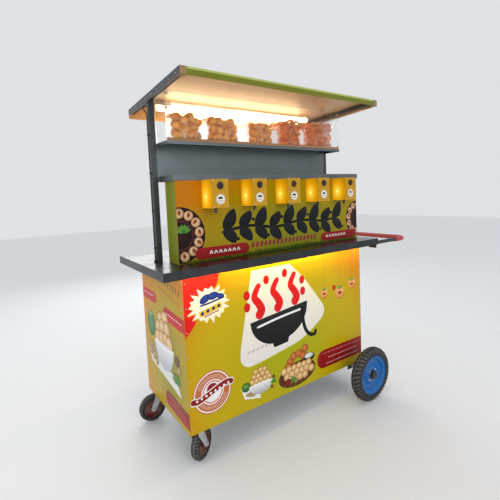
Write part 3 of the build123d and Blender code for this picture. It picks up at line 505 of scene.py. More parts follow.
box_low, box_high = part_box("dispenser_boxes")
cheek_lamp = (box_high[1] - 0.38 * (box_high[1] - box_low[1]), box_low[2] + 0.4 * (box_high[2] - box_low[2]))
tree = yellow_box.node_tree
feed = add(
    tree, "ShaderNodeGroup", {"Middle Y": cheek_lamp[0], "Middle Z": cheek_lamp[1], "Reach": 0.1},
    node_tree=lit_cheek
)
tree.links.new(feed.outputs["Light"], tree.nodes["Principled BSDF"].inputs["Emission Color"])
tree.nodes["Principled BSDF"].inputs["Emission Strength"].default_value = 0.72
puri_crust = material("Puri crust", fried_crust, None, 0.0006)
ring_crust = material(
    "Ring crust", fried_crust, {"Light": tint(238, 140, 44), "Dark": tint(204, 88, 16), "Blister": 380.0},
    0.0005
)
print("lit materials:", [m.name for m in (tube_glow, strip_glow, lamp_glow)])

# %% [markdown]
# The roof is one folded sheet with two finishes: dark edges outside, cream laminate on the underside.
# The way a face looks tells which one it is: down, forwards or towards the middle is lined.

# %%
roof = bpy.data.materials.new("Roof sheet")
roof.use_nodes = True
tree = roof.node_tree
shader = tree.nodes["Principled BSDF"]
facing = normal_axes(tree)
under = calc(tree, "LESS_THAN", calc(tree, "MINIMUM", facing["Z"], facing["Y"]), -0.6)
roof_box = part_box("roof_sheet")
across = minus(tree, axes(tree, place(tree))["X"], (roof_box[0][0] + roof_box[1][0]) / 2)
inward = calc(tree, "LESS_THAN", times(tree, facing["X"], across), -0.3)
under = calc(tree, "MAXIMUM", under, inward)
dark = add(tree, "ShaderNodeGroup", {"Paint": tint(44, 46, 48), "Gloss": 0.3}, node_tree=worn_paint)
cream = add(
    tree, "ShaderNodeGroup", {"Paint": tint(208, 162, 106), "Gloss": 0.35, "Chips": 0.0}, node_tree=worn_paint
)
tree.links.new(mix(tree, under, dark.outputs["Color"], cream.outputs["Color"]), shader.inputs["Base Color"])
tree.links.new(dark.outputs["Roughness"], shader.inputs["Roughness"])
bump = add(tree, "ShaderNodeBump", {"Strength": 0.4, "Distance": 0.0002, "Height": dark.outputs["Height"]})
tree.links.new(bump.outputs[0], shader.inputs["Normal"])
print("roof material has", len(tree.nodes), "nodes")

# %% [markdown]
# ## Dressing the frame
# Most metal parts already have their true shape, so each gets its finish and nothing else.

# %%
looks = {
    counter_steel: ["counter_top"],
    panel_steel: [
        "dispenser_ledge", "back_panel", "housing_back", "upper_shelf", "left_door", "right_door",
        "mid_shelf", "cabinet_floor"
    ],
    post_steel: ["rear_posts", "push_handle", "nozzles"],
    frame_paint: ["base_frame", "upper_frame", "roof_bearers"],
    zinc: ["axle", "caster_plates", "caster_bolts", "door_tracks", "front_caster_fork", "back_caster_fork",
           "front_caster_axle", "back_caster_axle"],
    yellow_box: ["dispenser_boxes"],
    black_gloss: [f"button_{number}" for number in range(1, 6)] + ["power_switch"],
    black_matt: ["lamp_cable", "pumps", "power_box", "switch_body", "front_wheel_hub", "back_wheel_hub"],
    wheel_blue: ["front_wheel_disc", "back_wheel_disc"],
    caster_red: ["front_caster_rim", "back_caster_rim"],
    grip_red: ["handle_grip"],
    olive: ["roof_fascia"],
    white_plastic: ["light_fitting"],
    tank_white: ["flavour_tanks"],
    lid_blue: ["tank_lids"],
    hose_clear: ["feed_hoses"],
    front_print: ["front_panel"],
    side_print: ["left_panel"],
    right_print: ["right_panel"],
    shaded_housing_print: ["housing_front"],
    tube_glow: ["tube_light"],
    strip_glow: ["counter_light_strip"],
    acrylic: ["showcase"],
    roof: ["roof_sheet"],
}
for look, names in looks.items():
    for name in names:
        if name in nodes:
            nodes[name].data.materials.clear()
            nodes[name].data.materials.append(look)
print("dressed", sum(len(names) for names in looks.values()), "nodes")

# %% [markdown]
# ## Building meshes
# Small fittings are made from a few primitives and joined into one mesh for each piece. A part is a
# pair: its points, and faces that count from its own first point.

# %%
def block(low, high):
    """A box between two corners."""
    (a, b, c), (d, e, f) = low, high
    points = [(a, b, c), (d, b, c), (d, e, c), (a, e, c), (a, b, f), (d, b, f), (d, e, f), (a, e, f)]
    return np.array(points), [
        (0, 3, 2, 1), (4, 5, 6, 7), (0, 1, 5, 4), (1, 2, 6, 5), (2, 3, 7, 6), (3, 0, 4, 7)
    ]


def grid_faces(rows, columns, wrap_rows=False, wrap_columns=False):
    """Quads of a grid of points laid out row by row."""
    faces = []
    for i in range(rows if wrap_rows else rows - 1):
        for j in range(columns if wrap_columns else columns - 1):
            k, m = (i + 1) % rows, (j + 1) % columns
            faces.append((i * columns + j, k * columns + j, k * columns + m, i * columns + m))
    return faces


def lathe(profile, centre, axis, steps=48):
    """A profile of (radius, distance along the axis) turned round an axis."""
    axis = Vector(axis).normalized()
    side = axis.orthogonal().normalized()
    other = axis.cross(side)
    points = []
    for i in range(steps):
        angle = 2 * math.pi * i / steps
        out = side * math.cos(angle) + other * math.sin(angle)
        points += [tuple(Vector(centre) + out * radius + axis * along) for radius, along in profile]
    return np.array(points), grid_faces(steps, len(profile), wrap_rows=True)


def hexagon(centre, axis, radius, height):
    """A hexagon head with a small chamfer."""
    profile = [(0, 0), (radius, 0), (radius, height * 0.8), (radius * 0.86, height), (0, height)]
    return lathe(profile, centre, axis, 6)


def washer(centre, axis, radius, thickness, steps):
    """A flat round plate."""
    return lathe([(0, 0), (radius, 0), (radius, thickness), (0, thickness)], centre, axis, steps)


def make(name, parts, look, body=BODY, smooth=35.0):
    """One object from many parts, with its finish, riding on a body."""
    points, faces, count = [], [], 0
    for part_points, part_faces in parts:
        points.append(np.asarray(part_points, float))
        faces += [tuple(index + count for index in face) for face in part_faces]
        count += len(part_points)
    mesh = bpy.data.meshes.new(name)
    mesh.from_pydata(np.concatenate(points).tolist(), [], faces)
    mesh.validate()
    helper = bmesh.new()
    helper.from_mesh(mesh)
    bmesh.ops.remove_doubles(helper, verts=helper.verts, dist=1e-6)
    bmesh.ops.recalc_face_normals(helper, faces=helper.faces)
    helper.to_mesh(mesh)
    helper.free()
    mesh.shade_smooth()
    if smooth:
        mesh.set_sharp_from_angle(angle=math.radians(smooth))
    thing = bpy.data.objects.new(name, mesh)
    bpy.context.scene.collection.objects.link(thing)
    mesh.materials.append(look)
    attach(thing, body)
    return thing


print("mesh tools ready; a hexagon head has", len(hexagon((0, 0, 0), (0, 0, 1), 1, 1)[0]), "points")

# %% [markdown]
# ## Big tyres
# The push wheels carry knobbly trolley tyres. The carcass is a lathe of many fine steps, and the tread
# is cut into it: two staggered rows of slanted lugs, shoulder lugs down the side, and grooves between.

# %%
def tyre_part(box, rim, depth, lugs, steps=540, rows=44):
    """A tyre that fills a CAD tyre's box, with a tread cut to a depth."""
    low, high = Vector(box[0]), Vector(box[1])
    centre, half = (low + high) / 2, (high.y - low.y) / 2
    radius = (high.z - low.z) / 2
    angles = np.arange(steps) / steps * 2 * math.pi
    across = np.linspace(-1, 1, rows)
    bend = np.sign(across) * np.abs(across) ** 0.8 * math.pi * 0.5
    belly = np.cos(bend) ** 0.55
    offset = np.sin(bend) * half
    height = rim + (radius - rim) * belly
    lean = 0.65 * np.abs(across)
    phase = (angles[:, None] / (2 * math.pi) * lugs + lean[None, :] + 0.5 * (across[None, :] > 0)) % 1.0
    edge = np.minimum(phase, 1 - phase)
    groove = np.clip((0.2 - edge) / 0.05, 0, 1)
    middle = np.clip((0.07 - np.abs(across))[None, :] / 0.03, 0, 1)
    waist = np.clip((0.035 - np.abs(np.abs(across) - 0.42))[None, :] / 0.02, 0, 1)
    tread = (height > rim + (radius - rim) * 0.5)[None, :]
    cut = np.maximum(np.maximum(groove, middle), waist) * tread * depth
    spin = height[None, :] - cut
    x = centre.x + spin * np.cos(angles)[:, None]
    z = centre.z + spin * np.sin(angles)[:, None]
    y = np.broadcast_to(centre.y + offset[None, :], x.shape)
    part = np.stack([x, y, z], -1).reshape(-1, 3), grid_faces(steps, rows, wrap_rows=True)
    return part, (cut / depth).ravel()


def mark_grooves(piece, amounts):
    """The depth of the tread at each point, for the rubber's dust."""
    layer = piece.data.attributes.new("groove", "FLOAT", "POINT")
    if len(piece.data.vertices) == len(amounts):
        layer.data.foreach_set("value", amounts.astype(np.float32))
    print(piece.name, "tread points", len(amounts), "of", len(piece.data.vertices))


WHEEL_RIM, WHEEL_TREAD, WHEEL_LUGS = 0.113, 0.007, 38
for side in ("front", "back"):
    name = f"{side}_wheel_tyre"
    part, amounts = tyre_part(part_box(name), WHEEL_RIM, WHEEL_TREAD, WHEEL_LUGS)
    piece = make(f"{side}_tyre_tread", [part], tyre, f"{side}_wheel", smooth=40)
    mark_grooves(piece, amounts)
    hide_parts(name)
    print(piece.name, len(piece.data.polygons), "faces")

# %% [markdown]
# ## Wheel centres
# Each pressed disc has four bolts round the hub, four hand holes and a valve. The holes are not cut:
# thin dark oval plates stand in for them, painted shade where the dark inside of the wheel would show.

# %%
DISC_FACE = 0.1405  # from the cabinet's side out to the disc's face
BOLT_CIRCLE, HOLE_CIRCLE = 0.036, 0.074
for side, sign in (("front", -1), ("back", 1)):
    low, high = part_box(f"{side}_wheel_disc")
    hub_low, hub_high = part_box(f"{side}_wheel_hub")
    middle = ((low[0] + high[0]) / 2, (low[2] + high[2]) / 2)
    face = (FRONT if sign < 0 else BACK) + sign * DISC_FACE
    bolts, hole_shades = [], []
    for i in range(4):
        angle = math.radians(45 + 90 * i)
        at = (middle[0] + BOLT_CIRCLE * math.cos(angle), face, middle[1] + BOLT_CIRCLE * math.sin(angle))
        bolts.append(hexagon(at, (0, sign, 0), 0.0062, 0.005))
        bolts.append(washer(at, (0, sign, 0), 0.0085, 0.0012, 24))
        # Painted shade: a thin dark oval plate where each hand hole would open into the wheel.
        turn = math.radians(90 * i + 8)
        hole_shade_at = Vector(
            (
                middle[0] + HOLE_CIRCLE * math.cos(turn), face - sign * 0.0095,
                middle[1] + HOLE_CIRCLE * math.sin(turn)
            )
        )
        ring = []
        for j in range(24):
            step = 2 * math.pi * j / 24
            local = Vector((0.0045 * math.cos(step), 0, 0.011 * math.sin(step)))
            on_disc = hole_shade_at + Matrix.Rotation(-turn, 3, "Y") @ local
            ring += [tuple(on_disc), tuple(on_disc + Vector((0, sign * 0.0012, 0)))]
        lid = [tuple(range(0, 48, 2)), tuple(range(1, 48, 2))]
        hole_shades.append((np.array(ring), grid_faces(24, 2, wrap_rows=True) + lid))
    valve_at = (middle[0] + 0.088, face - sign * 0.006, middle[1] - 0.035)
    bolts.append(
        lathe([(0, 0), (0.003, 0), (0.003, 0.012), (0.0022, 0.018), (0, 0.018)], valve_at, (0, sign, 0), 16)
    )
    make(f"{side}_wheel_bolts", bolts, zinc, f"{side}_wheel")
    make(f"{side}_wheel_hole_shades", hole_shades, black_matt, f"{side}_wheel")
print("hub face at y", round(hub_low[1], 3), round(hub_high[1], 3))

# %% [markdown]
# ## Caster tyres
# The casters have the same kind of rubber with a finer tread. Their wheels stand turned on their
# forks, so the tyre is built straight and then turned to the joint's own axis.

# %%
CASTER_RIM, CASTER_TREAD, CASTER_LUGS, CASTER_HALF = 0.0505, 0.003, 30, 0.021
for side in ("front", "back"):
    name = f"{side}_caster_tyre"
    joint = next(j for j in frame["joints"] if j["name"] == f"{side}_caster_roll")
    centre, axis = Vector(joint["pos_m"]), Vector(joint["axis"])
    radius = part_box(name)[1][2] - centre.z
    straight = ((-radius, -CASTER_HALF, -radius), (radius, CASTER_HALF, radius))
    (points, faces), amounts = tyre_part(straight, CASTER_RIM, CASTER_TREAD, CASTER_LUGS, steps=408, rows=30)
    turn = Vector((0, 1, 0)).rotation_difference(axis).to_matrix()
    moved = points @ np.array(turn).T + np.array(centre)
    piece = make(
        f"{side}_caster_tread", [(moved, faces)], tyre, f"{side}_caster_wheel", smooth=40
    )
    mark_grooves(piece, amounts)
    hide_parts(name)
    print(piece.name, "radius", round(radius, 4))

# %% [markdown]
# ## Printed pictures
# The wrap carries flat printed pictures. Each is a stack of thin coloured shapes a few hundredths of a
# millimetre apart, and the ink is stored as a colour on the points, so a shape can fade from its middle
# to its edge. All pictures share one laminated ink material.

# %%
ink = bpy.data.materials.new("Printed ink")
ink.use_nodes = True
tree = ink.node_tree
shader = tree.nodes["Principled BSDF"]
colour = add(tree, "ShaderNodeAttribute", attribute_name="ink").outputs["Color"]
dots = cloud(tree, place(tree), 420.0, 3.0)
tree.links.new(
    mix(tree, spread(tree, dots, 0.35, 0.75, 0, 0.12), colour, (0.02, 0.02, 0.01, 1)),
    shader.inputs["Base Color"]
)
tree.links.new(
    spread(tree, cloud(tree, place(tree), 30.0, 6.0), 0.3, 0.8, 0.2, 0.36), shader.inputs["Roughness"]
)
shader.inputs["Specular IOR Level"].default_value = 0.14
shader.inputs["Coat Weight"].default_value = 0.06
shader.inputs["Coat Roughness"].default_value = 0.12


FIRST_LIFT, LAYER_LIFT = 0.12 * MM, 0.012 * MM  # ink above the panel, and each layer above the last


class Picture:
    """Flat shapes on one panel. u and v are millimetres along the panel and above the ground."""

    def __init__(self, name, spot, outward, clip=None):
        self.name, self.spot, self.outward, self.clip = name, spot, Vector(outward), clip
        self.points, self.colours, self.faces, self.layer = [], [], [], 0

    def keep(self, u, v):
        """A point held inside the panel."""
        if self.clip:
            u = min(max(u, self.clip[0]), self.clip[1])
            v = min(max(v, self.clip[2]), self.clip[3])
        return u, v

    def add_points(self, outline, colours):
        """Points at this layer's height."""
        first = len(self.points)
        for (u, v), colour in zip(outline, colours):
            u, v = self.keep(u, v)
            lift = self.outward * (FIRST_LIFT + LAYER_LIFT * self.layer)
            self.points.append(tuple(Vector(self.spot(u * MM, v * MM)) + lift))
            self.colours.append(colour)
        return first

    def shape(self, outline, colour, fade=None):
        """A filled outline in one colour, or fading to another one from bottom to top."""
        low, high = min(v for _, v in outline), max(v for _, v in outline)
        def at(v):
            part = (v - low) / max(high - low, 1e-6)
            return tuple(a + (b - a) * part for a, b in zip(colour, fade or colour))
        first = self.add_points(outline, [at(v) for _, v in outline])
        for triangle in tessellate_polygon([[Vector((u, v, 0)) for u, v in outline]]):
            self.faces.append(tuple(first + index for index in triangle))
        self.layer += 1

    def disc(self, u, v, radius, inner, outer, squash=1.0, turn=0.0, steps=26):
        """An oval that fades from its middle to its edge, lit from the upper left."""
        rings = (0.0, 0.55, 0.85, 1.0)
        start_u, start_v = u - radius * 0.22, v + radius * squash * 0.26
        outline, colours = [], []
        for ring in rings:
            for i in range(steps):
                angle = 2 * math.pi * i / steps
                du, dv = ring * radius * math.cos(angle), ring * radius * squash * math.sin(angle)
                du, dv = du * math.cos(turn) - dv * math.sin(turn), du * math.sin(turn) + dv * math.cos(turn)
                outline.append((start_u * (1 - ring) + u * ring + du, start_v * (1 - ring) + v * ring + dv))
                colours.append(tuple(a + (b - a) * ring ** 2 for a, b in zip(inner, outer)))
        first = self.add_points(outline, colours)
        self.faces += [
            tuple(first + k for k in face) for face in grid_faces(len(rings), steps, wrap_columns=True)
        ]
        self.layer += 1

    def stroke(self, path, width, colour, taper=(1.0, 1.0)):
        """A ribbon of ink along a smooth path."""
        smooth = curve(path)
        left, right = [], []
        for i, (u, v) in enumerate(smooth):
            before, after = smooth[max(i - 1, 0)], smooth[min(i + 1, len(smooth) - 1)]
            du, dv = after[0] - before[0], after[1] - before[1]
            size = math.hypot(du, dv) or 1.0
            part = i / (len(smooth) - 1)
            grown = width / 2 * (taper[0] + (taper[1] - taper[0]) * part) * min(
                1.0, 0.35 + 9 * part, 0.35 + 9 * (1 - part)
            )
            left.append((u - dv / size * grown, v + du / size * grown))
            right.append((u + dv / size * grown, v - du / size * grown))
        strip = [point for pair in zip(left, right) for point in pair]
        first = self.add_points(strip, [colour] * len(strip))
        self.faces += [tuple(first + k for k in face) for face in grid_faces(len(smooth), 2)]
        self.layer += 1

    def make(self):
        """The finished picture, riding on the cabinet."""
        mesh = bpy.data.meshes.new(self.name)
        mesh.from_pydata(self.points, [], self.faces)
        mesh.validate()
        layer = mesh.color_attributes.new("ink", "FLOAT_COLOR", "POINT")
        layer.data.foreach_set("color", np.array(self.colours, float).ravel())
        flipped = [p for p in mesh.polygons if Vector(p.normal).dot(self.outward) < 0]
        for polygon in flipped:
            polygon.flip()
        thing = bpy.data.objects.new(self.name, mesh)
        bpy.context.scene.collection.objects.link(thing)
        mesh.materials.append(ink)
        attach(thing, BODY)
        print(self.name, len(mesh.polygons), "faces in", self.layer, "layers")
        return thing


def between(a, b, c, d, t):
    """A point of the smooth line from b to c, with a and d on either side of them."""
    return tuple(
        0.5 * (2 * q + (r - p) * t + (2 * p - 5 * q + 4 * r - s) * t * t + (3 * q - p - 3 * r + s) * t ** 3)
        for p, q, r, s in zip(a, b, c, d)
    )


def curve(path, steps=7):
    """A smooth line through a few points."""
    if len(path) < 3:
        return list(path)
    ends = [path[0]] + list(path) + [path[-1]]
    spans = zip(ends, ends[1:], ends[2:], ends[3:])
    return [between(*span, i / steps) for span in spans for i in range(steps)] + [tuple(path[-1])]


def closed(path, steps=7):
    """A smooth closed outline round a few points."""
    count = len(path)
    spans = [[path[(i + k) % count] for k in (-1, 0, 1, 2)] for i in range(count)]
    return [between(*span, i / steps) for span in spans for i in range(steps)]


def circle(u, v, radius, steps):
    """A round outline."""
    return [
        (u + radius * math.cos(a), v + radius * math.sin(a))
        for a in np.linspace(0, 2 * math.pi, steps + 1)[:-1]
    ]


def shift(outline, du, dv):
    """An outline moved aside, for the shade under a shape."""
    return [(u + du, v + dv) for u, v in outline]


def row(picture, count, start, finish, step, width, colour):
    """Equal short strokes, each a step on from the last."""
    for i in range(count):
        du, dv = step[0] * i, step[1] * i
        picture.stroke([(start[0] + du, start[1] + dv), (finish[0] + du, finish[1] + dv)], width, colour)


def pill(u0, u1, v0, v1, tilt=0.0, round_left=True, round_right=True):
    """A label with rounded ends, rising by tilt from left to right."""
    radius = (v1 - v0) / 2
    outline = []
    ends = ((u1 - radius, -90, round_right, u1), (u0 + radius, 90, round_left, u0))
    for centre, begin, rounded, flat in ends:
        for i in range(13):
            angle = math.radians(begin + 15 * i)
            u = centre + radius * math.cos(angle) if rounded else flat
            v = (v0 + v1) / 2 + radius * math.sin(angle)
            outline.append((u, v + tilt * (u - u0) / (u1 - u0)))
    return outline


MAROON, RED, BLACK = tint(142, 20, 24), tint(226, 24, 20), tint(16, 16, 16)
CREAM, WHITE = tint(250, 240, 205), tint(240, 240, 238)
BALL, BALL_EDGE, GREEN, LEAF = tint(244, 214, 150), tint(176, 112, 46), tint(40, 110, 44), tint(110, 160, 50)


def heap(picture, spots, radius, light=BALL, dark=BALL_EDGE):
    """A pile of snack balls, the back ones first."""
    for u, v in spots:
        picture.disc(u, v, radius * 1.04, dark, tint(96, 56, 22), 0.94)
        picture.disc(u, v, radius, light, dark, 0.94)


def leaves(picture, u, v, size, count=5, colour=GREEN):
    """A sprig of leaves."""
    for i in range(count):
        angle = math.radians(20 + 140 * i / max(count - 1, 1))
        picture.disc(
            u + size * 0.5 * math.cos(angle), v + size * 0.5 * math.sin(angle), size * 0.5, LEAF, colour,
            0.42, angle
        )


def bowl(picture, u, v, width, balls, colour=WHITE, shade=tint(170, 172, 178)):
    """A bowl heaped with snack balls."""
    rng = random.Random(int(u + v))
    radius = width * 0.105
    rows = ((3, 0.46), (4, 0.3), (5, 0.14), (4, 0.0)) if balls > 12 else ((2, 0.34), (4, 0.18), (4, 0.02))
    for count, up in rows:
        spots = [
            (
                u + (i - (count - 1) / 2) * radius * 1.8 + rng.uniform(-3, 3),
                v + up * width + rng.uniform(-3, 3)
            )
            for i in range(count)
        ]
        heap(picture, spots, radius)
    rim = [
        (u + width * 0.5 * math.cos(a), v + width * 0.03 * math.sin(a)) for a in np.linspace(0, math.pi, 12)
    ]
    base = [
        (u + width * 0.5 * math.cos(a), v + width * 0.36 * math.sin(a))
        for a in np.linspace(math.pi, 2 * math.pi, 24)
    ]
    picture.shape(rim + base, shade, colour)
    picture.stroke(
        [(u - width * 0.49, v - 1), (u, v - width * 0.05), (u + width * 0.49, v - 1)], width * 0.03, WHITE
    )


print("picture tools ready; a pill outline has", len(pill(0, 100, 0, 20)), "points")

# %% [markdown]
# ## The front panel's print
# From the left: a red corner with a spiky cream burst, a pale spotlight with a red and black food
# emblem, hanging ornaments, a maroon label, a round badge, and two dishes of snack balls. The marks
# are plain motifs: steam, a bowl, leaves and rings.

# %%
top, bottom = panel_high[2] / MM, panel_low[2] / MM


def front_picture(part):
    """An empty picture on the front panel."""
    clip = (1, 1199, bottom + 1, top - 1)
    return Picture(f"front_picture_{part}", lambda u, v: (LEFT + u, FRONT, v), (0, -1, 0), clip)


art = front_picture("left")
art.shape(
    [(1, top - 1), (196, top - 1)] + curve(
        [(196, top - 1), (172, 846), (118, 818), (84, 772), (70, 716), (40, 668), (1, 628)]
    ),
    RED, tint(232, 40, 24)
)
spikes = []
for i in range(36):
    angle = 2 * math.pi * i / 36
    reach = (1.0 if i % 2 == 0 else 0.74) * (1.0 + 0.1 * math.sin(i * 2.3))
    spikes.append((128 + 112 * reach * math.cos(angle), 762 + 88 * reach * math.sin(angle)))
art.shape(shift(spikes, 3, -4), tint(212, 196, 60))
art.shape(spikes, CREAM, tint(252, 248, 226))
NAVY = tint(24, 44, 120)
art.shape([(74, 734), (190, 762), (198, 736), (82, 708)], tint(222, 176, 20), tint(242, 206, 40))
for i in range(4):
    u, v = 92 + 29 * i, 724 + 7 * i
    art.shape([(u - 10, v), (u, v + 12), (u + 10, v + 2), (u, v - 10)], NAVY)
for u, v, radius, turn in ((108, 790, 30, 0.5), (150, 798, 30, 0.15), (190, 790, 22, -0.3)):
    art.disc(u, v, radius, tint(40, 70, 160), NAVY, 0.6, turn)
art.stroke([(80, 762), (132, 768), (206, 782)], 8, NAVY)
art.stroke([(100, 706), (140, 716), (180, 724)], 5, MAROON)
art.make()

# %% [markdown]
# The spotlight is a soft white cone. On it, red steam curls over a bold black bowl.

# %%
art = front_picture("middle")
cone = [(372, 880), (622, 880)] + curve(
    [
        (720, 792), (842, 640), (872, 594), (870, 558), (836, 520), (700, 450), (540, 420), (372, 398),
        (318, 404), (288, 440), (290, 500)
    ],
    6
)
art.shape(shift(cone, 3, -3), tint(196, 190, 60))
art.shape(cone, tint(232, 226, 222), tint(252, 246, 214))
for u, lean in ((404, 0), (524, 12), (644, 24)):
    path = [
        (u - 8, 632 + lean), (u + 22, 668 + lean), (u + 6, 706 + lean), (u - 20, 742 + lean),
        (u - 2, 784 + lean), (u + 18, 806 + lean)
    ]
    art.stroke(shift(path, 3, -4), 66, WHITE, (1.0, 0.5))
    art.stroke(path, 54, RED, (1.0, 0.5))
for u, v in ((338, 700), (338, 760), (462, 820), (586, 836), (708, 780), (712, 716)):
    art.disc(u, v, 19, RED, tint(190, 14, 14), 1.25)
bowl_line = [(352, 616), (744, 656)] + curve(
    [
        (744, 656), (732, 590), (690, 530), (620, 490), (540, 474), (462, 482), (402, 516), (366, 562),
        (352, 616)
    ],
    6
)
art.shape(shift(bowl_line, 3, -6), WHITE)
art.shape(bowl_line, BLACK, tint(34, 34, 36))
art.stroke([(392, 584), (540, 604), (704, 618)], 12, WHITE)
art.shape([(486, 486), (606, 492), (594, 458), (500, 452)], BLACK)
art.stroke([(700, 640), (716, 520), (752, 462), (796, 452), (802, 478)], 26, BLACK, (0.9, 0.7))
row(art, 7, (330, 464), (346, 476), (28, 2), 9, BLACK)
art.make()

# %% [markdown]
# Along the foot of the panel: the ringed badge with a ribbon across it, a bowl with green chutney, and
# a brown basket. The ornaments hang from fine threads at the top right.

# %%
art = front_picture("foot")
RUST = tint(196, 110, 60)
for radius, colour in (
    (104, RUST), (98, WHITE), (92, RUST), (60, WHITE), (54, tint(210, 90, 60)), (48, WHITE)
):
    art.shape(circle(124, 344, radius, 48), colour)
for i in range(22):
    angle = math.radians(24 + 132 * i / 21)
    for turn in (0, math.pi):
        art.stroke(
            [(124 + r * math.cos(angle + turn), 344 + r * math.sin(angle + turn)) for r in (67, 84)], 4.5,
            WHITE
        )
art.shape(closed([(94, 344), (100, 376), (124, 386), (148, 374), (152, 344), (124, 332)]), MAROON)
art.stroke([(8, 330), (52, 322), (124, 346), (196, 368), (240, 360)], 36, WHITE)
art.stroke([(10, 330), (52, 322), (124, 346), (196, 368), (238, 360)], 26, MAROON)
for i in range(8):
    art.disc(42 + 24 * i, 325 + 5.2 * i, 6, WHITE, WHITE)
art.shape([(282, 300), (300, 240), (400, 214), (392, 262)], tint(232, 232, 222), WHITE)
for u, v in ((318, 258), (334, 250), (352, 246), (340, 264), (366, 250)):
    art.disc(u, v, 11, tint(196, 170, 110), tint(120, 84, 40), 0.8)
art.disc(312, 298, 26, tint(60, 130, 60), tint(20, 70, 34), 0.9)
art.disc(312, 304, 20, tint(120, 170, 70), tint(40, 110, 40), 0.5)
bowl(art, 404, 292, 150, 15)
leaves(art, 484, 268, 22)
for u, v in ((486, 300), (474, 250)):
    art.disc(u, v, 9, tint(130, 80, 50), tint(60, 30, 16))
art.make()

art = front_picture("basket")
art.disc(656, 262, 136, tint(150, 90, 50), tint(70, 34, 16), 0.5, 0.05)
art.disc(656, 270, 124, tint(110, 50, 24), tint(80, 34, 14), 0.46, 0.05)
rng = random.Random(5)
heap(
    art, [(604, 340), (632, 366), (668, 372), (700, 350), (716, 388), (590, 318)], 24, tint(220, 130, 60),
    tint(140, 56, 20)
)
art.disc(744, 330, 44, tint(40, 40, 44), tint(10, 10, 12), 0.6)
art.disc(744, 338, 34, tint(240, 240, 236), tint(180, 180, 170), 0.45)
for u, v, count, radius in ((560, 296, 6, 23), (580, 268, 6, 24), (602, 240, 4, 24)):
    heap(art, [(u + 36 * i, v + rng.uniform(-6, 6)) for i in range(count)], radius)
leaves(art, 620, 222, 34, 6)
art.disc(586, 234, 22, tint(150, 40, 30), tint(70, 14, 10), 0.8)
art.make()

art = front_picture("right")
art.shape(pill(808, 1199, 226, 334, round_right=False), MAROON, tint(156, 28, 30))
for i, (begin, finish) in enumerate(((850, 1180), (900, 1160), (880, 1170))):
    v, long = 312 - 32 * i, finish - begin
    row(art, 14, (begin, v), (begin + long / 19, v), (long / 14, 0), 9 if i else 5, tint(240, 214, 200))
for u, v, size in ((880, 672, 30), (1012, 656, 38), (1122, 690, 32)):
    art.stroke([(u, top - 1), (u, v + size)], 2.6, tint(92, 60, 16))
    body = closed(
        [
            (u - size, v - size * 0.1), (u - size * 0.72, v + size * 0.72), (u, v + size),
            (u + size * 0.74, v + size * 0.7), (u + size, v - size * 0.12), (u + size * 0.5, v - size * 0.92),
            (u - size * 0.52, v - size * 0.94)
        ],
        5
    )
    art.shape(shift(body, 2, -3), tint(120, 70, 20))
    art.shape(body, tint(226, 140, 70), tint(246, 190, 120))
    art.disc(u, v + size * 0.68, size * 0.66, tint(150, 180, 60), tint(70, 120, 40), 0.42)
    art.disc(u, v - size * 0.2, size * 0.42, tint(160, 60, 36), tint(110, 30, 20), 0.55)
art.disc(962, 688, 15, tint(230, 40, 40), tint(170, 10, 20))
art.make()

# %% [markdown]
# ## The sides' print
# Each side repeats the front on a smaller scale: labels that run to the edges, a tall white bowl of
# large snack balls, and short rows of marks under the counter. Both sides carry the same sheet, so one
# function draws it, and only the corner that it starts from differs.

# %%
depth_mm = (BACK - FRONT) / MM


def side_picture(name, x, start_y, sign):
    """The print of one side. u runs from the corner at start_y."""
    art = Picture(
        name, lambda u, v: (x, start_y - sign * u, v), (-sign, 0, 0), (1, depth_mm - 1, bottom + 1, top - 1)
    )
    row(art, 9, (250, 842), (262, 872), (30, -4), 17, BLACK)
    row(art, 12, (236, 806), (244, 822), (23, -4), 12, tint(196, 30, 22))
    art.shape(pill(1, 206, 716, 776, -6, round_left=False), tint(196, 30, 26), tint(210, 40, 30))
    row(art, 7, (24, 748), (36, 748), (22, 0), 16, WHITE)
    art.shape(pill(296, depth_mm - 1, 660, 726, -14, round_right=False), tint(214, 24, 24), tint(190, 20, 24))
    row(art, 8, (330, 694), (343, 694), (24, -1.4), 18, WHITE)
    art.shape([(40, 440), (96, 372), (470, 318), (420, 396)], tint(238, 236, 230), tint(226, 224, 214))
    art.disc(108, 588, 54, tint(90, 150, 90), tint(30, 90, 50), 1.3)
    art.disc(108, 640, 40, tint(150, 190, 110), tint(60, 130, 60), 0.4)
    heap(
        art, [(96, 466), (130, 446), (84, 430), (126, 414), (160, 426), (168, 396)], 24, tint(206, 180, 124),
        tint(130, 92, 48)
    )
    heap(
        art, [(250, 640), (306, 656), (216, 590), (270, 604), (326, 606)], 46, tint(246, 218, 160),
        tint(190, 128, 60)
    )
    heap(art, [(206, 536), (256, 544), (308, 546), (352, 540)], 46, tint(246, 218, 160), tint(190, 128, 60))
    bowl_side = [(152, 520)] + curve(
        [(160, 470), (204, 412), (280, 386), (352, 410), (392, 468)], 5
    ) + [(404, 520)]
    art.shape(bowl_side, tint(184, 186, 196), WHITE)
    art.stroke([(154, 518), (278, 496), (402, 518)], 12, tint(250, 250, 250))
    leaves(art, 420, 372, 50, 6)
    art.disc(440, 486, 26, tint(130, 84, 60), tint(70, 34, 22))
    art.disc(456, 446, 22, tint(206, 180, 130), tint(150, 100, 56))
    art.shape(pill(270, depth_mm - 1, 214, 290, -16, round_right=False), tint(176, 20, 26), MAROON)
    for i in range(3):
        row(art, 12, (300, 274 - 20 * i), (310, 274 - 20 * i), (18, -1), 5, tint(238, 206, 196))
    art.make()


side_picture("left_picture", LEFT, BACK, 1)
side_picture("right_picture", RIGHT, FRONT, -1)

# %% [markdown]
# ## The housing's print
# The housing shows half a dark platter at each end, a large black vine between, a row of maroon
# diamonds, two maroon labels and a strip of grass along its foot.

# %%
house_u0, house_u1 = (housing_low[0] - LEFT) / MM, (housing_high[0] - LEFT) / MM


def house_spot(u, v):
    """The place on the housing's front of a point in millimetres."""
    return (LEFT + u, housing_low[1], v)


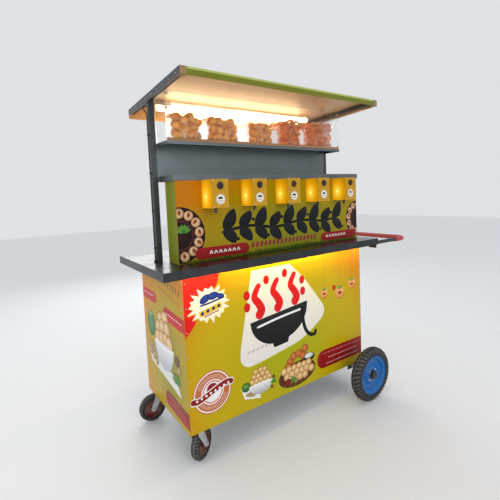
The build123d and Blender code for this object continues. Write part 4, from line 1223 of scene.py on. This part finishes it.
def platter(name, u, v, radius, clip, seed):
    """A black platter with snack balls round a dark soup."""
    art = Picture(name, house_spot, (0, -1, 0), clip)
    art.disc(u, v, radius, tint(34, 28, 26), tint(14, 12, 12))
    rng = random.Random(seed)
    for i in range(13):
        angle = 2 * math.pi * i / 13 + 0.1
        at = (u + radius * 0.77 * math.cos(angle), v + radius * 0.77 * math.sin(angle))
        if clip[0] - radius * 0.1 < at[0] < clip[1] + radius * 0.1:
            art.disc(
                at[0], at[1], radius * 0.185, tint(248, 220, 180), tint(164, 106, 60), 0.96, rng.uniform(0, 3)
            )
            art.disc(
                at[0] + rng.uniform(-4, 4), at[1] + rng.uniform(-3, 5), radius * 0.1, tint(206, 120, 60),
                tint(112, 52, 28), 0.7, rng.uniform(0, 3)
            )
            art.disc(
                at[0] + rng.uniform(-5, 5), at[1] + 3, radius * 0.035, tint(90, 30, 20), tint(60, 20, 14)
            )
    art.disc(u, v, radius * 0.56, tint(120, 60, 66), tint(70, 24, 30))
    art.disc(u, v, radius * 0.48, tint(50, 14, 16), tint(24, 8, 8))
    leaves(art, u + 20, v + radius * 0.1, radius * 0.3, 6)
    art.make()


platter("housing_platter_left", 30, 1084, 132, (house_u0 + 1, house_u1 - 1, 955, 1334), 3)
platter("housing_platter_right", 1272, 1082, 112, (house_u0 + 1, house_u1 - 1, 955, 1334), 4)

art = Picture("housing_picture", house_spot, (0, -1, 0), (house_u0 + 1, house_u1 - 1, 953, 1334))
INK = tint(14, 16, 20)
art.stroke(
    [(250, 1080), (420, 1100), (600, 1080), (780, 1102), (960, 1086), (1108, 1110)], 20, INK, (0.8, 0.7)
)
for i in range(9):
    u = 286 + 97 * i
    lean = 0.9 if i % 2 else 1.15
    for up in (1, -1):
        base_v = 1092 + 7 * math.sin(i * 1.6)
        tip = (u + 46, base_v + up * 86 * lean)
        leaf = closed(
            [
                (u - 20, base_v), (u - 24, base_v + up * 38), (u + 6, base_v + up * 72 * lean), tip,
                (u + 54, base_v + up * 44), (u + 28, base_v + up * 8)
            ],
            5
        )
        art.shape(
            leaf if up > 0 or i % 2 else [(p, base_v + (q - base_v) * 0.72) for p, q in leaf], INK,
            tint(30, 32, 36)
        )
    art.disc(u + 62, 1085 + 46 * (1 if i % 2 else -1), 9, INK, INK)
for i in range(17):
    u, v = 436 + 28 * i, 998
    art.shape([(u - 11, v - 12), (u + 3, v - 14), (u + 12, v + 13), (u - 2, v + 14)], tint(150, 16, 60))
art.shape(pill(104, 412, 962, 1016, 0), MAROON, tint(160, 24, 28))
art.shape(pill(934, 1250, 962, 1012, 0), MAROON, tint(160, 24, 28))
for begin in (190, 986):
    for j in range(7):
        u = begin + 26 * j
        art.stroke([(u - 8, 982), (u, 996), (u + 8, 982)], 6, WHITE)
rng = random.Random(9)
for i in range(300):
    u = 30 + 1220 * i / 300 + rng.uniform(-2, 2)
    tall = rng.uniform(12, 30)
    lean = rng.uniform(-6, 6)
    art.layer = i % 4
    art.shape([(u - 3.4, 953), (u + 3.4, 953), (u + lean, 953 + tall)], tint(24, 58, 8), tint(66, 106, 18))
art.make()

# %% [markdown]
# ## Dispenser fronts
# Each box has a bezel round its button, a plain round badge below it, a tiny lens in its left cheek and
# two small screws. The badge is white with two rings and a leaf.

# %%
lenses, bezels, screws = [], [], []
box_low, box_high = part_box("dispenser_boxes")
badges = Picture("dispenser_badges", lambda u, v: (LEFT + u, box_low[1], v), (0, -1, 0))
for number in range(1, 6):
    low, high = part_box(f"button_{number}")
    x, z = (low[0] + high[0]) / 2, (low[2] + high[2]) / 2
    bezels.append(
        lathe(
            [(0.0142, 0), (0.0172, 0), (0.0172, 0.0014), (0.0158, 0.0026), (0.0142, 0.002)],
            (x, box_low[1], z), (0, -1, 0), 40
        )
    )
    u, v = (x - LEFT) / MM, 1244
    for radius, colour in ((24, tint(230, 226, 214)), (22, tint(120, 116, 110)), (20.5, tint(240, 236, 226))):
        badges.shape(circle(u, v, radius, 32), colour)
    badges.disc(u - 3, v + 6, 10, tint(30, 24, 24), tint(14, 12, 12), 0.5, 0.3)
    badges.disc(u + 7, v + 4, 5, tint(30, 24, 24), tint(14, 12, 12), 0.8)
    badges.stroke([(u - 13, v - 6), (u, v - 10), (u + 13, v - 6)], 3, tint(150, 40, 30))
    lamp_at = (x - 0.043, cheek_lamp[0], cheek_lamp[1])
    lenses.append(
        lathe([(0, 0.0014), (0.0018, 0.0012), (0.0031, 0.0006), (0.0036, 0)], lamp_at, (-1, 0, 0), 28)
    )
    for corner in ((-0.037, 0.126), (0.037, 0.126), (-0.037, 0.006), (0.037, 0.006)):
        at = (x + corner[0], box_low[1], box_low[2] + corner[1])
        screws.append(
            lathe([(0, 0.0009), (0.0016, 0.0011), (0.0026, 0.0006), (0.0029, 0)], at, (0, -1, 0), 16)
        )
badges.make()
make("dispenser_lamp_lenses", lenses, lamp_glow)
make("button_bezels", bezels, black_matt)
make("dispenser_screws", screws, zinc)
print("dispensers fitted out with", len(lenses), "lenses")

# %% [markdown]
# ## Bags of snacks
# Five clear bags stand behind the acrylic: three of snack balls and two of ring snacks. The contents
# start anywhere in the bag's space, then push each other apart while they sink, so the heap looks poured.

# %%
def unit_ball(detail):
    """Points and faces of a round ball of radius one."""
    helper = bmesh.new()
    bmesh.ops.create_icosphere(helper, subdivisions=detail, radius=1.0)
    points = np.array([tuple(v.co) for v in helper.verts])
    faces = [tuple(v.index for v in f.verts) for f in helper.faces]
    helper.free()
    return points, faces


def unit_ring(thick, steps=20, sides=9):
    """A ring of radius one."""
    points = []
    for i in range(steps):
        a = 2 * math.pi * i / steps
        for j in range(sides):
            b = 2 * math.pi * j / sides
            out = 1 - thick + thick * math.cos(b)
            points.append((out * math.cos(a), out * math.sin(a), thick * math.sin(b)))
    return np.array(points), grid_faces(steps, sides, True, True)


def settle(low, high, radius, count, rng, rounds=140):
    """Centres of balls shaken down in a box until they rest against each other."""
    low, high = np.asarray(low) + radius, np.asarray(high) - radius
    points = np.array([[rng.uniform(low[k], high[k]) for k in range(3)] for _ in range(count)])
    same = np.eye(count)
    for step in range(rounds):
        gaps = points[:, None] - points[None]
        far = np.linalg.norm(gaps, axis=2) + same
        push = np.clip(2 * radius - far, 0, None) * (1 - same)
        points = points + (gaps / far[..., None] * push[..., None]).sum(1) * 0.4
        points[:, 2] -= 0.001 * (1 - step / rounds)
        points = np.clip(points, low, high)
    return [tuple(point) for point in points]


rng = random.Random(21)
ball_points, ball_faces = unit_ball(3)
ring_points, ring_faces = unit_ring(0.34)


def contents(centres, radius, kind):
    """Balls or rings at the centres, each turned, squashed and dented its own way."""
    parts = []
    for centre in centres:
        turn = np.array(
            Matrix.Rotation(
                rng.uniform(0, 6.28), 3,
                Vector((rng.uniform(-1, 1), rng.uniform(-1, 1), rng.uniform(-1, 1))).normalized()
            )
        )
        size = radius * rng.uniform(0.93, 1.04)
        if kind == "ball":
            dents = np.array(
                [1 + 0.07 * noise.noise(Vector(p) * 1.7 + Vector(centre) * 90) for p in ball_points]
            )
            shaped = ball_points * dents[:, None] * np.array([1.0, 1.0, rng.uniform(0.84, 0.96)])
            parts.append(((shaped @ turn.T) * size + np.array(centre), ball_faces))
        else:
            shaped = ring_points * np.array([1.0, rng.uniform(0.8, 1.1), 1.0])
            parts.append(((shaped @ turn.T) * size * 1.06 + np.array(centre), ring_faces))
    return parts


def bags_in(name):
    """The boxes of the separate bags in a CAD node, from left to right."""
    helper = bmesh.new()
    helper.from_mesh(nodes[name].data)
    bmesh.ops.remove_doubles(helper, verts=helper.verts, dist=1e-5)
    left, boxes = set(helper.verts), []
    while left:
        group, queue = [], [left.pop()]
        while queue:
            vert = queue.pop()
            group.append(tuple(vert.co))
            for edge in vert.link_edges:
                other = edge.other_vert(vert)
                if other in left:
                    left.remove(other)
                    queue.append(other)
        boxes.append((np.array(group).min(0), np.array(group).max(0)))
    helper.free()
    return sorted(boxes, key=lambda box: box[0][0])


bag_boxes = [
    ("puri_bags", box) for box in bags_in("puri_bags")
] + [("ring_bags", box) for box in bags_in("ring_bags")]
print(len(bag_boxes), "bags, widths", [round(float(high[0] - low[0]), 3) for _, (low, high) in bag_boxes])

# %% [markdown]
# The film is a lofted tube. It follows the contents where it is full, falls in above them, and is
# gathered into an open ruffled mouth. Long folds run down from the mouth, and small creases cross them.

# %%
def bag_film(low, high, fill, seed):
    """A loose clear bag inside a box, full up to a height."""
    around, rows = 132, 56
    middle = (low + high) / 2
    half = (high - low) / 2
    points = []
    for i in range(rows):
        t = i / (rows - 1)
        z = low[2] + 0.0015 + (high[2] - low[2] - 0.003) * t
        full = 1.0 if t < fill else 1 - 0.36 * math.sin((t - fill) / (1 - fill) * math.pi / 2) ** 1.3
        foot = min(1.0, 0.78 + 3.2 * t)
        for j in range(around):
            angle = 2 * math.pi * j / around
            c, s = math.cos(angle), math.sin(angle)
            corner = (abs(c) ** 5 + abs(s) ** 5) ** -0.2
            fold = 0.055 * max(0.0, (t - fill * 0.8)) * math.sin(13 * angle + 3 * math.sin(2 * angle + seed))
            crease = 0.024 * noise.noise(Vector((c * 2.6, s * 2.6, t * 5 + seed * 9)))
            crease += 0.012 * noise.noise(Vector((c * 8, s * 8, t * 15 + seed * 5)))
            reach = min(0.995, corner * (0.955 * full * foot + fold + crease))
            x = middle[0] + half[0] * np.clip(c * reach, -0.995, 0.995)
            y = middle[1] + half[1] * np.clip(s * reach * (1 if t < fill else full ** 0.8), -0.995, 0.995)
            lift = 0.006 * noise.noise(Vector((c * 3, s * 3, seed))) * t ** 3 - 0.006 * t ** 3
            points.append((x, y, min(z + lift, high[2] - 0.0005)))
    faces = grid_faces(rows, around, wrap_columns=True)
    faces.append(tuple(reversed(range(around))))
    return np.array(points), faces


# how far each bag's left and right sides fall in from its space, in millimetres
FALL_IN = ((26, 20), (3, 22), (30, 0), (58, 0), (12, 0))
# for each kind: its radius, the radius it packs at, how high the bag is filled, the share of that room taken
PACKING = {"ball": (0.0262, 0.0232, 0.76, 0.66), "ring": (0.0212, 0.0152, 0.84, 0.6)}
for index, (name, (low, high)) in enumerate(bag_boxes):
    low, high = low + np.array(
        [FALL_IN[index][0] * MM, 0, 0]
    ), high - np.array([FALL_IN[index][1] * MM, 0, 0])
    kind = "ball" if name == "puri_bags" else "ring"
    radius, room, fill, share = PACKING[kind]
    inner_low, inner_high = low + 0.003, high - 0.003
    inner_high[2] = low[2] + (high[2] - low[2]) * fill
    count = round(share * float(np.prod(inner_high - inner_low)) / (4 / 3 * math.pi * room ** 3))
    centres = settle(inner_low + (radius - room), inner_high - (radius - room), room, count, rng)
    look = puri_crust if kind == "ball" else ring_crust
    make(f"snacks_{index + 1}", contents(centres, radius, kind), look, smooth=0)
    bag_piece = make(
        f"bag_{index + 1}", [bag_film(low, high, fill, index + 1)], film, smooth=0
    )
    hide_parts(name)
    print(bag_piece.name, "holds", len(centres), kind, "snacks")

# %% [markdown]
# ## Roof edge
# The fascia is a painted strip with a lime bead along its top, and brown plastic caps over the ends of
# the roof's front corners. Blind rivets hold the sheet's sides to the bearers.

# %%
roof_low, roof_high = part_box("roof_sheet")
bearers_low, bearers_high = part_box("roof_bearers")
ROOF_FALL, ROOF_DEPTH, lip = 0.030, 0.664, 0.033
fall = math.atan2(ROOF_FALL, ROOF_DEPTH)


def roof_point(u, v, w):
    """A point at u along the roof, v back from its front edge and w above its sheet."""
    c, s = math.cos(fall), math.sin(fall)
    return (roof_low[0] + u, roof_low[1] + v * c + w * s, roof_high[2] - v * s + w * c)


def roof_block(low, high):
    """A box in the roof's own slope."""
    points, faces = block(low, high)
    return np.array([roof_point(*p) for p in points]), faces


long = roof_high[0] - roof_low[0]
make(
    "roof_fascia_bead", [roof_block((0.03, 0.0002, -0.0095), (long - 0.03, 0.0028, -0.0018))], lime,
)
caps = []
for u in (0.0005, long - 0.0285):
    caps.append(roof_block((u, 0.0003, -lip + 0.0005), (u + 0.028, 0.0045, -0.0004)))
    caps.append(roof_block((u, 0.0045, -lip + 0.0005), (u + 0.028, 0.030, -lip + 0.0035)))
for u in (0.0016, long - 0.0046):
    caps.append(roof_block((u, 0.0005, -lip + 0.001), (u + 0.003, 0.052, -0.003)))
make("roof_corner_caps", caps, cap_brown)
valance = [roof_block((0.03, 0.0034, -0.0055), (long - 0.03, 0.026, -0.0035))]
make("roof_trim_inside", valance, paint("Warm trim", tint(222, 176, 116), 0.4, 0.1, 0.0))
ROOF_RIVET = [(0, 0.0009), (0.0017, 0.001), (0.003, 0.0005), (0.0034, 0)]
rivets = []
slope_out = (0, math.sin(fall), math.cos(fall))
for side in (0, 1):
    for i in range(9):
        at = roof_point(0.0001 if side == 0 else long - 0.0001, 0.04 + i * 0.072, -0.017)
        rivets.append(lathe(ROOF_RIVET, at, (-1 if side == 0 else 1, 0, 0), 14))
for i in range(8):
    for u in (bearers_low[0] - roof_low[0] + 0.011, bearers_high[0] - roof_low[0] - 0.011):
        rivets.append(lathe(ROOF_RIVET, roof_point(u, 0.05 + i * 0.08, 0), slope_out, 14))
make("roof_rivets", rivets, zinc)
print("roof", round(long, 3), "m long with", len(rivets), "rivets")

# %% [markdown]
# ## Cabinet trims and fasteners
# The wrap's edges are held by narrow trims on the front corners, with rivets beside them. The handle's
# end plates have two bolts each, clips hold the lamp cable to its post, and screws hold the acrylic.

# %%
PANEL_RIVET = [(0, 0.0009), (0.0015, 0.001), (0.0026, 0.0004), (0.0028, 0)]
trims, rivets = [], []
for x in (LEFT, RIGHT - 0.0008):
    trims.append(block((x, FRONT - 0.0012, panel_low[2]), (x + 0.0008, FRONT, panel_high[2] - 0.002)))
for x in (LEFT + 0.012, RIGHT - 0.012):
    for i in range(7):
        z = panel_low[2] + 0.03 + i * 0.112
        rivets.append(lathe(PANEL_RIVET, (x, FRONT, z), (0, -1, 0), 14))
for side, x in ((-1, LEFT), (1, RIGHT)):
    for y in (FRONT + 0.014, BACK - 0.014):
        for i in range(7):
            z = panel_low[2] + 0.03 + i * 0.112
            rivets.append(lathe(PANEL_RIVET, (x, y, z), (side, 0, 0), 14))
make("panel_edge_trims", trims, paint("Trim yellow", tint(170, 140, 30), 0.3, 0.4, 0.2))
make("panel_rivets", rivets, zinc)

bolts = []
handle_low, handle_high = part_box("push_handle")
plate_x = handle_low[0] + 0.004
for y in (FRONT - 0.019, BACK + 0.019):
    for dy in (-0.021, 0.021):
        at = (plate_x, y + dy, (handle_low[2] + handle_high[2]) / 2 + 0.018)
        bolts.append(washer(at, (1, 0, 0), 0.0065, 0.001, 20))
        bolts.append(hexagon((at[0] + 0.001, at[1], at[2]), (1, 0, 0), 0.005, 0.004))
make("handle_bolts", bolts, zinc)

clips = []
cable_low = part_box("lamp_cable")[0]
post_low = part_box("rear_posts")[0]
cable_y = post_low[1] + 0.0125
for z in (1.02, 1.2, 1.38, 1.56):
    clips.append(
        lathe(
            [(0.0031, -0.004), (0.0046, -0.004), (0.0046, 0.004), (0.0031, 0.004)],
            (cable_low[0] + 0.0073, cable_y, z), (0, 0, 1), 24
        )
    )
    clips.append(
        block((cable_low[0] + 0.0110, cable_y - 0.004, z - 0.004), (post_low[0], cable_y + 0.004, z + 0.004))
    )
make("cable_clips", clips, black_matt)

DOOR_RIVET = [(0, 0.0006), (0.002, 0.0005), (0.0026, 0)]
for side, sign in (("left", 1), ("right", -1)):
    low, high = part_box(f"{side}_door")
    x = low[0] + 0.05 if sign > 0 else high[0] - 0.05
    at = (x, high[1], (low[2] + high[2]) / 2 + 0.05)
    cup = lathe(
        [(0.0165, 0), (0.0215, 0), (0.0215, 0.0006), (0.0195, 0.001), (0.0165, 0.0007)], at, (0, 1, 0), 40
    )
    # Painted shade: a thin black disc inside the cup stands in for the shade of the pull's recess.
    recess_shade = washer(at, (0, 1, 0), 0.0166, 0.0004, 40)
    make(f"{side}_door_pull", [cup], zinc, f"sliding_door_{side}")
    make(f"{side}_door_pull_recess_shade", [recess_shade], black_matt, f"sliding_door_{side}")
    pins = [lathe(DOOR_RIVET, (low[0] + (high[0] - low[0]) * a, high[1], z), (0, 1, 0), 14)
            for a in (0.04, 0.35, 0.65, 0.96) for z in (low[2] + 0.03, high[2] - 0.03)]
    make(f"{side}_door_rivets", pins, zinc, f"sliding_door_{side}")
print("fasteners:", len(rivets), "rivets,", len(bolts), "bolt parts,", len(clips), "clip parts")

# %% [markdown]
# The acrylic's corners are held by small bright screws. Polished edges of thick clear sheet catch the
# light and look paler than its faces, so a narrow pale strip along its top paints that highlight, and a tan
# sealing strip runs along its foot.

# %%
case_low, case_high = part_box("showcase")
screws = []
for x in (case_low[0] + 0.012, case_high[0] - 0.012):
    for z in (case_low[2] + 0.014, case_high[2] - 0.014):
        screws.append(
            lathe(
                [(0, 0.0024), (0.003, 0.0024), (0.0046, 0.0012), (0.005, 0)], (x, case_low[1], z), (0, -1, 0),
                20
            )
        )
make("showcase_screws", screws, zinc)
# Painted highlight: a pale, half-clear strip stands in for the light caught by the sheet's polished top edge.
edge = material("Acrylic edge highlight", Base_Color=tint(236, 232, 220), Roughness=0.25, Transmission_Weight=0.4)
edge_highlight_strips = [
    block(
        (case_low[0], case_low[1], case_high[2]), (case_high[0], case_low[1] + 0.003, case_high[2] + 0.0006)
    )
]
make("showcase_edge_highlight", edge_highlight_strips, edge)
seal = [
    block(
        (case_low[0] + 0.0035, case_low[1] + 0.0035, case_low[2] + 0.0003),
        (case_high[0] - 0.0035, case_low[1] + 0.006, case_low[2] + 0.013)
    )
]
make("showcase_seal", seal, paint("Seal strip", tint(176, 122, 70), 0.4, 0.1, 0.0))
print("acrylic case", [round(b - a, 3) for a, b in zip(case_low, case_high)])

# %% [markdown]
# ## Camera
# The camera stands a little left of the cart's left end at chest height and looks along the cart's
# front, with a wide lens and a slight tilt of the hand.

# %%
yaw, pitch, roll = 0.6044, -0.0715, -0.0418
ahead = Vector((math.sin(yaw) * math.cos(pitch), math.cos(yaw) * math.cos(pitch), math.sin(pitch)))
level = Vector((math.cos(yaw), -math.sin(yaw), 0))
upright = level.cross(ahead)
right = level * math.cos(roll) + upright * math.sin(roll)
up = upright * math.cos(roll) - level * math.sin(roll)
camera = bpy.data.objects.new("camera", bpy.data.cameras.new("camera"))
bpy.context.scene.collection.objects.link(camera)
rotation = Matrix((right, up, -ahead)).transposed().to_4x4()
eye = (LEFT - 0.6378, FRONT - 1.4648, 1.2598)
camera.matrix_world = Matrix.Translation(eye) @ rotation
camera.data.lens, camera.data.sensor_width = 26.06, 36.0
camera.data.shift_x, camera.data.shift_y = 0.0012, -0.0592
camera.data.clip_start = 0.05
bpy.context.scene.camera = camera
print("camera at", [round(v, 3) for v in camera.location])

# %% [markdown]
# ## Floor and light
# A pale plain floor and soft light from three sides, so that the yellow print and the cart's own lamps
# read as they do indoors.

# %%
floor_mesh = bpy.data.meshes.new("floor")
floor_mesh.from_pydata([(-14, -14, 0), (14, -14, 0), (14, 14, 0), (-14, 14, 0)], [], [(0, 1, 2, 3)])
floor = bpy.data.objects.new("floor", floor_mesh)
bpy.context.scene.collection.objects.link(floor)
floor_mesh.materials.append(material("Floor", Base_Color=(0.86, 0.87, 0.87, 1), Roughness=0.7))

world = bpy.data.worlds.new("studio")
bpy.context.scene.world = world
world.use_nodes = True
world.node_tree.nodes["Background"].inputs[0].default_value = (0.95, 0.97, 1.0, 1)
world.node_tree.nodes["Background"].inputs[1].default_value = 0.78


def soft_light(name, place_at, aim, size, power, colour=(1, 1, 1)):
    """A large square lamp that looks at a point."""
    lamp = bpy.data.lights.new(name, "AREA")
    lamp.shape, lamp.size, lamp.energy, lamp.color = "SQUARE", size, power, colour
    thing = bpy.data.objects.new(name, lamp)
    bpy.context.scene.collection.objects.link(thing)
    thing.location = place_at
    thing.rotation_euler = (Vector(aim) - Vector(place_at)).to_track_quat("-Z", "Y").to_euler()


soft_light("key", (-0.6, -4.2, 2.4), (0, 0, 0.8), 2.4, 34)
soft_light("fill", (-3.4, -1.2, 2.0), (0, 0, 0.8), 2.4, 14)
soft_light("back", (0.5, 3.4, 2.6), (0, 0, 0.9), 2.4, 40)
bpy.context.scene.view_settings.view_transform = "Standard"
